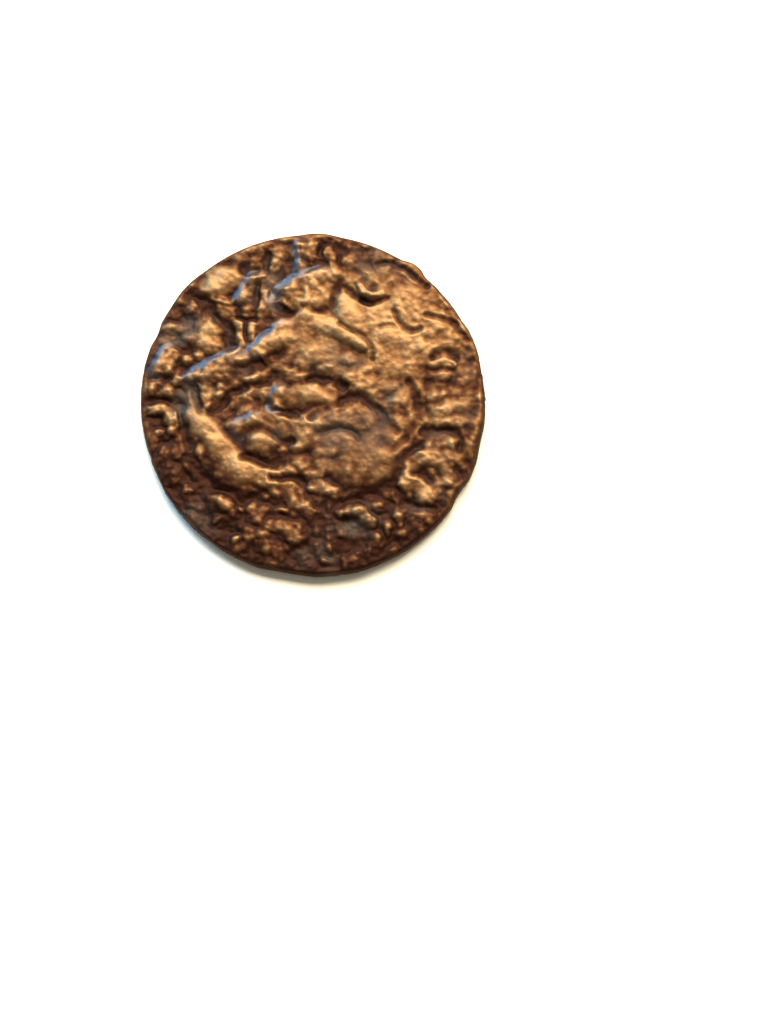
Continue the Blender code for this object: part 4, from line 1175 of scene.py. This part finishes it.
        # Dark oxide and painted shade: darker towards the edge, and the whole wall dark
        edge = self.flan.radius(np.arctan2(places[:, 1], places[:, 0]))
        inside = (edge - np.hypot(places[:, 0], places[:, 1])) / self.dark_oxide_and_shade_border
        wear -= self.border_oxide_and_shade_darkness * (1 - np.clip(inside, 0, 1)) ** 2
        wear[upper:lower] = -self.border_oxide_and_shade_darkness
        wear[lower:] = 0.0
        return wear, film

    @staticmethod
    def hollows(mesh: bpy.types.Mesh, places: Array, rounds: int) -> Array:
        """Tell how deep each vertex lies under the surface round it, once that is smoothed.

        Args:
            mesh: the coin's mesh.
            places: its vertices, in millimetres.
            rounds: how many times each vertex takes the middle of its neighbours.

        Returns:
            Depths in millimetres; a raised place has less than 0.
        """
        ends = np.empty(2 * len(mesh.edges), dtype=np.int64)
        mesh.edges.foreach_get("vertices", ends)
        a, b = ends[0::2], ends[1::2]
        count = np.bincount(ends, minlength=len(places)).astype(float)
        smooth = places.copy()
        for _ in range(rounds):
            for axis in range(3):
                total = np.bincount(a, smooth[b, axis], len(places))
                total += np.bincount(b, smooth[a, axis], len(places))
                smooth[:, axis] = total / count
        normals = np.empty(3 * len(places))
        mesh.vertices.foreach_get("normal", normals)
        return ((smooth - places) * normals.reshape(-1, 3)).sum(axis=1)


@dataclass(frozen=True)
class PatinatedCopper:
    """Old struck copper: rolled, cut, struck and worn, under brown and black oxide.

    The oxide is dark and dull in every hollow, and a dull grey film lies over it in patches. High
    places are rubbed to a golden brown metal, which the eye reads as warm, soft highlights. Broad
    patches, lighter over the upper right and darker towards the foot, the left and the edge, are
    partly painted light and shade. The glossy steep flanks mirror a bluish window. A real oxide's
    grain and pocks are finer: here they are as coarse as they need to be to show.
    """

    grain_mm: float = 0.25
    pock_mm: float = 0.36
    stain_mm: float = 1.6
    cloud_mm: float = 3.0
    # Black oxide, brown oxide, copper and rubbed gold, each at the wear where it shows
    tones: tuple[tuple[float, str], ...] = (
        (0.12, "#2e160a"), (0.38, "#4e2d16"), (0.62, "#684727"), (0.95, "#886642"))
    grey: str = "#4a4036"
    # What the wear and the painted light and shade are summed up from, each with its factor: high places
    # lose their oxide first
    wear_and_shade_terms: tuple[tuple[str, float], ...] = (
        ("rubbed_and_shaded", 1.0), ("relief", 0.9), ("hollow", -2.2), ("nick", -3.5), ("gloss", -0.35),
        ("pocks", -0.2), ("stains", 0.55), ("grain", 0.2))
    wear_and_shade_start: float = 0.11
    film_terms: tuple[tuple[str, float], ...] = (("clouds", 1.0), ("greyed", 0.25))
    bump_terms: tuple[tuple[str, float], ...] = (("pocks", -1.0), ("grain", 0.3))
    bump_mm: float = 0.035
    # From this to that reading, and what the share or value is at each of the two
    film_range: tuple[float, ...] = (0.55, 0.78, 0.0, 0.55)
    roughness_range: tuple[float, ...] = (0.2, 0.9, 0.65, 0.55)
    metallic_range: tuple[float, ...] = (0.15, 0.7, 0.9, 0.85)
    coat_roughness: float = 0.4

    def material(self) -> bpy.types.Material:
        """Make the finish.

        Returns:
            The material, for the slot of the record.
        """
        material = bpy.data.materials.new("patinated_struck_copper")
        material.use_nodes = True
        tree = material.node_tree
        tree.nodes.clear()
        marks = self.marks(tree)
        wear = self.sum(tree, marks, self.wear_and_shade_terms, self.wear_and_shade_start)
        film = self.sum(tree, marks, self.film_terms)
        ranged = {}
        for name, socket, limits in (("film", film, self.film_range), ("rough", wear, self.roughness_range),
                                     ("metal", wear, self.metallic_range)):
            settings = dict(zip(("From Min", "From Max", "To Min", "To Max"), limits))
            node = add_node(tree, "ShaderNodeMapRange", settings, {"Value": socket})
            ranged[name] = node.outputs["Result"]
        base = add_node(tree, "ShaderNodeMix", {"data_type": "RGBA", 7: linear_rgb(self.grey)},
                        {0: ranged["film"], 6: self.toned(tree, wear)})
        bump = add_node(tree, "ShaderNodeBump", {"Strength": 1.0, "Distance": self.bump_mm * MM},
                        {"Height": self.sum(tree, marks, self.bump_terms)})
        shader = add_node(tree, "ShaderNodeBsdfPrincipled", {"Coat Roughness": self.coat_roughness}, {
            "Base Color": base.outputs[2], "Roughness": ranged["rough"], "Metallic": ranged["metal"],
            "Coat Weight": marks["gloss"], "Normal": bump.outputs["Normal"]})
        add_node(tree, "ShaderNodeOutputMaterial", {}, {"Surface": shader.outputs["BSDF"]})
        return material

    def marks(self, tree: bpy.types.NodeTree) -> dict[str, bpy.types.NodeSocket]:
        """Read what is stored on the coin's vertices, and add the patterns of the oxide.

        Args:
            tree: the material's node tree.

        Returns:
            The sockets by name.
        """
        marks = {}
        for name in ("relief", "hollow", "nick", "rubbed_and_shaded", "gloss", "greyed"):
            node = add_node(tree, "ShaderNodeAttribute", {"attribute_name": name})
            marks[name] = node.outputs["Fac"]
        place = add_node(tree, "ShaderNodeTexCoord").outputs["Object"]
        for name, size, detail, roughness in (("stains", self.stain_mm, 4.0, 0.65),
                                              ("grain", self.grain_mm, 2.0, 0.6),
                                              ("clouds", self.cloud_mm, 3.0, 0.6)):
            settings = {"Scale": 1 / (size * MM), "Detail": detail, "Roughness": roughness}
            node = add_node(tree, "ShaderNodeTexNoise", settings, {"Vector": place})
            marks[name] = node.outputs["Fac"]
        settings = {"feature": "SMOOTH_F1", "Smoothness": 0.5, "Scale": 1 / (self.pock_mm * MM)}
        pocks = add_node(tree, "ShaderNodeTexVoronoi", settings, {"Vector": place})
        marks["pocks"] = pocks.outputs["Distance"]
        return marks

    def toned(self, tree: bpy.types.NodeTree, wear: bpy.types.NodeSocket) -> bpy.types.NodeSocket:
        """Colour the metal and its oxide.

        Args:
            tree: the material's node tree.
            wear: how worn each point is.

        Returns:
            The socket with the colour, before the grey film.
        """
        colours = add_node(tree, "ShaderNodeValToRGB", {}, {"Fac": wear})
        stops = colours.color_ramp.elements
        for reading, code in self.tones:
            stops.new(reading).color = linear_rgb(code)
        # The ramp's own first and last stops
        stops.remove(stops[0])
        stops.remove(stops[-1])
        return colours.outputs["Color"]

    @staticmethod
    def sum(tree: bpy.types.NodeTree, marks: dict[str, bpy.types.NodeSocket],
            terms: tuple[tuple[str, float], ...], start: float = 0.0) -> bpy.types.NodeSocket:
        """Add up marks, each times its own factor.

        Args:
            tree: the material's node tree.
            marks: the sockets by name.
            terms: pairs of a mark's name and its factor.
            start: the number that the sum starts from.

        Returns:
            The socket with the sum.
        """
        total = None
        for name, factor in terms:
            links = {0: marks[name]} if total is None else {0: marks[name], 2: total}
            settings = {"operation": "MULTIPLY_ADD", 1: factor, 2: start}
            total = add_node(tree, "ShaderNodeMath", settings, links).outputs["Value"]
        return total


@dataclass(frozen=True)
class WhitePaper:
    """Smooth white paper: matt, so that it gives a soft, pale ground."""

    colour: str = "#f7f2e4"
    roughness: float = 0.9

    def material(self) -> bpy.types.Material:
        """Make the finish of the floor.

        Returns:
            The material.
        """
        material = bpy.data.materials.new("white_paper")
        material.use_nodes = True
        shader = material.node_tree.nodes["Principled BSDF"]
        shader.inputs["Base Color"].default_value = linear_rgb(self.colour)
        shader.inputs["Roughness"].default_value = self.roughness
        return material


@dataclass(frozen=True)
class SoftLight:
    """A soft light: a lit rectangle that faces the coin.

    Its directions are in degrees, the azimuth clockwise from the top of the picture, and its
    distance and sizes in metres.
    """

    name: str
    azimuth: float
    elevation: float
    distance: float
    width: float
    height: float
    watts: float
    colour: str

    def place(self) -> bpy.types.Object:
        """Put the light in the scene.

        Returns:
            The light's object.
        """
        data = bpy.data.lights.new(self.name, "AREA")
        data.shape = "RECTANGLE"
        data.size, data.size_y = self.width, self.height
        data.energy = self.watts
        data.color = linear_rgb(self.colour)[:3]
        light = bpy.data.objects.new(self.name, data)
        a, e = math.radians(self.azimuth), math.radians(self.elevation)
        away = Vector((math.sin(a) * math.cos(e), math.cos(a) * math.cos(e), math.sin(e)))
        light.location = away * self.distance
        light.rotation_euler = away.to_track_quat("Z", "Y").to_euler()
        bpy.context.scene.collection.objects.link(light)
        return light


@dataclass
class Studio:
    """The camera at the photograph's angle, the pale floor and the soft lights.

    The picture is 771 by 1024 pixels. The die's middle, on the plane of the relief, shows at
    one named pixel, at a named scale, which together with the tilt places the camera. The relief's
    plane is in millimetres; the limits of what the camera sees and the floor are in metres.
    """

    picture_width: int = 771
    picture_height: int = 1024
    middle_pixel: Point = (312.4, 403.0)
    pixels_per_mm: float = 15.88
    relief_plane: float = 1.15
    tilt: float = 14.0
    yaw: float = 1.5
    lens: float = 50.0
    sensor: float = 36.0
    near_limit: float = 0.005
    far_limit: float = 10.0
    floor_width: float = 8.0
    lights: tuple[SoftLight, ...] = (
        SoftLight("main_light", azimuth=12, elevation=46, distance=0.9, width=1.0, height=0.5,
                  watts=27.5, colour="#fff0d8"),
        SoftLight("window", azimuth=-40, elevation=24, distance=0.6, width=0.22, height=0.28,
                  watts=4.6, colour="#48b2f2"),
    )
    # The room's warm light, as linear red, green and blue
    room_light: tuple[float, float, float] = (1.0, 0.95, 0.86)
    room_strength: float = 0.3

    def place_camera(self, flan: Flan) -> bpy.types.Object:
        """Make the camera and place it over the coin.

        Args:
            flan: the coin's disc, for the place of the die on it.

        Returns:
            The camera.
        """
        data = bpy.data.cameras.new("camera")
        data.lens, data.sensor_width = self.lens, self.sensor
        data.clip_start, data.clip_end = self.near_limit, self.far_limit
        camera = bpy.data.objects.new("camera", data)
        camera.rotation_euler = Euler((math.radians(self.tilt), math.radians(self.yaw), 0.0))
        focal = self.lens / self.sensor * self.picture_height
        depth = focal / self.pixels_per_mm
        across = (self.middle_pixel[0] - self.picture_width / 2) / focal
        down = (self.middle_pixel[1] - self.picture_height / 2) / focal
        seen = camera.rotation_euler.to_matrix() @ (Vector((across, -down, -1.0)) * depth)
        middle = Vector((flan.strike_right, flan.strike_up, self.relief_plane))
        camera.location = (middle - seen) * MM
        bpy.context.scene.collection.objects.link(camera)
        bpy.context.scene.camera = camera
        return camera

    def lay_floor(self) -> bpy.types.Object:
        """Lay the pale floor under the coin.

        Returns:
            The floor.
        """
        half = self.floor_width / 2
        mesh = bpy.data.meshes.new("floor")
        mesh.from_pydata([(-half, -half, 0), (half, -half, 0), (half, half, 0), (-half, half, 0)], [],
                         [(0, 1, 2, 3)])
        mesh.materials.append(WhitePaper().material())
        floor = bpy.data.objects.new("floor", mesh)
        bpy.context.scene.collection.objects.link(floor)
        return floor

    def light(self) -> None:
        """Set up the lights and the even light of the room."""
        for light in self.lights:
            light.place()
        world = bpy.data.worlds.new("room")
        world.use_nodes = True
        background = world.node_tree.nodes["Background"]
        background.inputs["Color"].default_value = (*self.room_light, 1.0)
        background.inputs["Strength"].default_value = self.room_strength
        bpy.context.scene.world = world
        bpy.context.scene.view_settings.view_transform = "Standard"


def main() -> None:
    """Dress the coin, light it and place the camera."""
    logging.basicConfig(level=logging.INFO, format="%(name)s: %(message)s")
    studio = Studio()
    coin = Coin()
    studio.place_camera(coin.flan)
    piece = coin.build()
    piece.data.materials.append(PatinatedCopper().material())
    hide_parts(NODE)
    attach(piece, BODY)
    LOG.info("struck coin: %d triangles", len(piece.data.polygons))
    studio.lay_floor()
    studio.light()
    LOG.info("studio: floor, lights and camera")


if __name__ == "__main__":
    main()
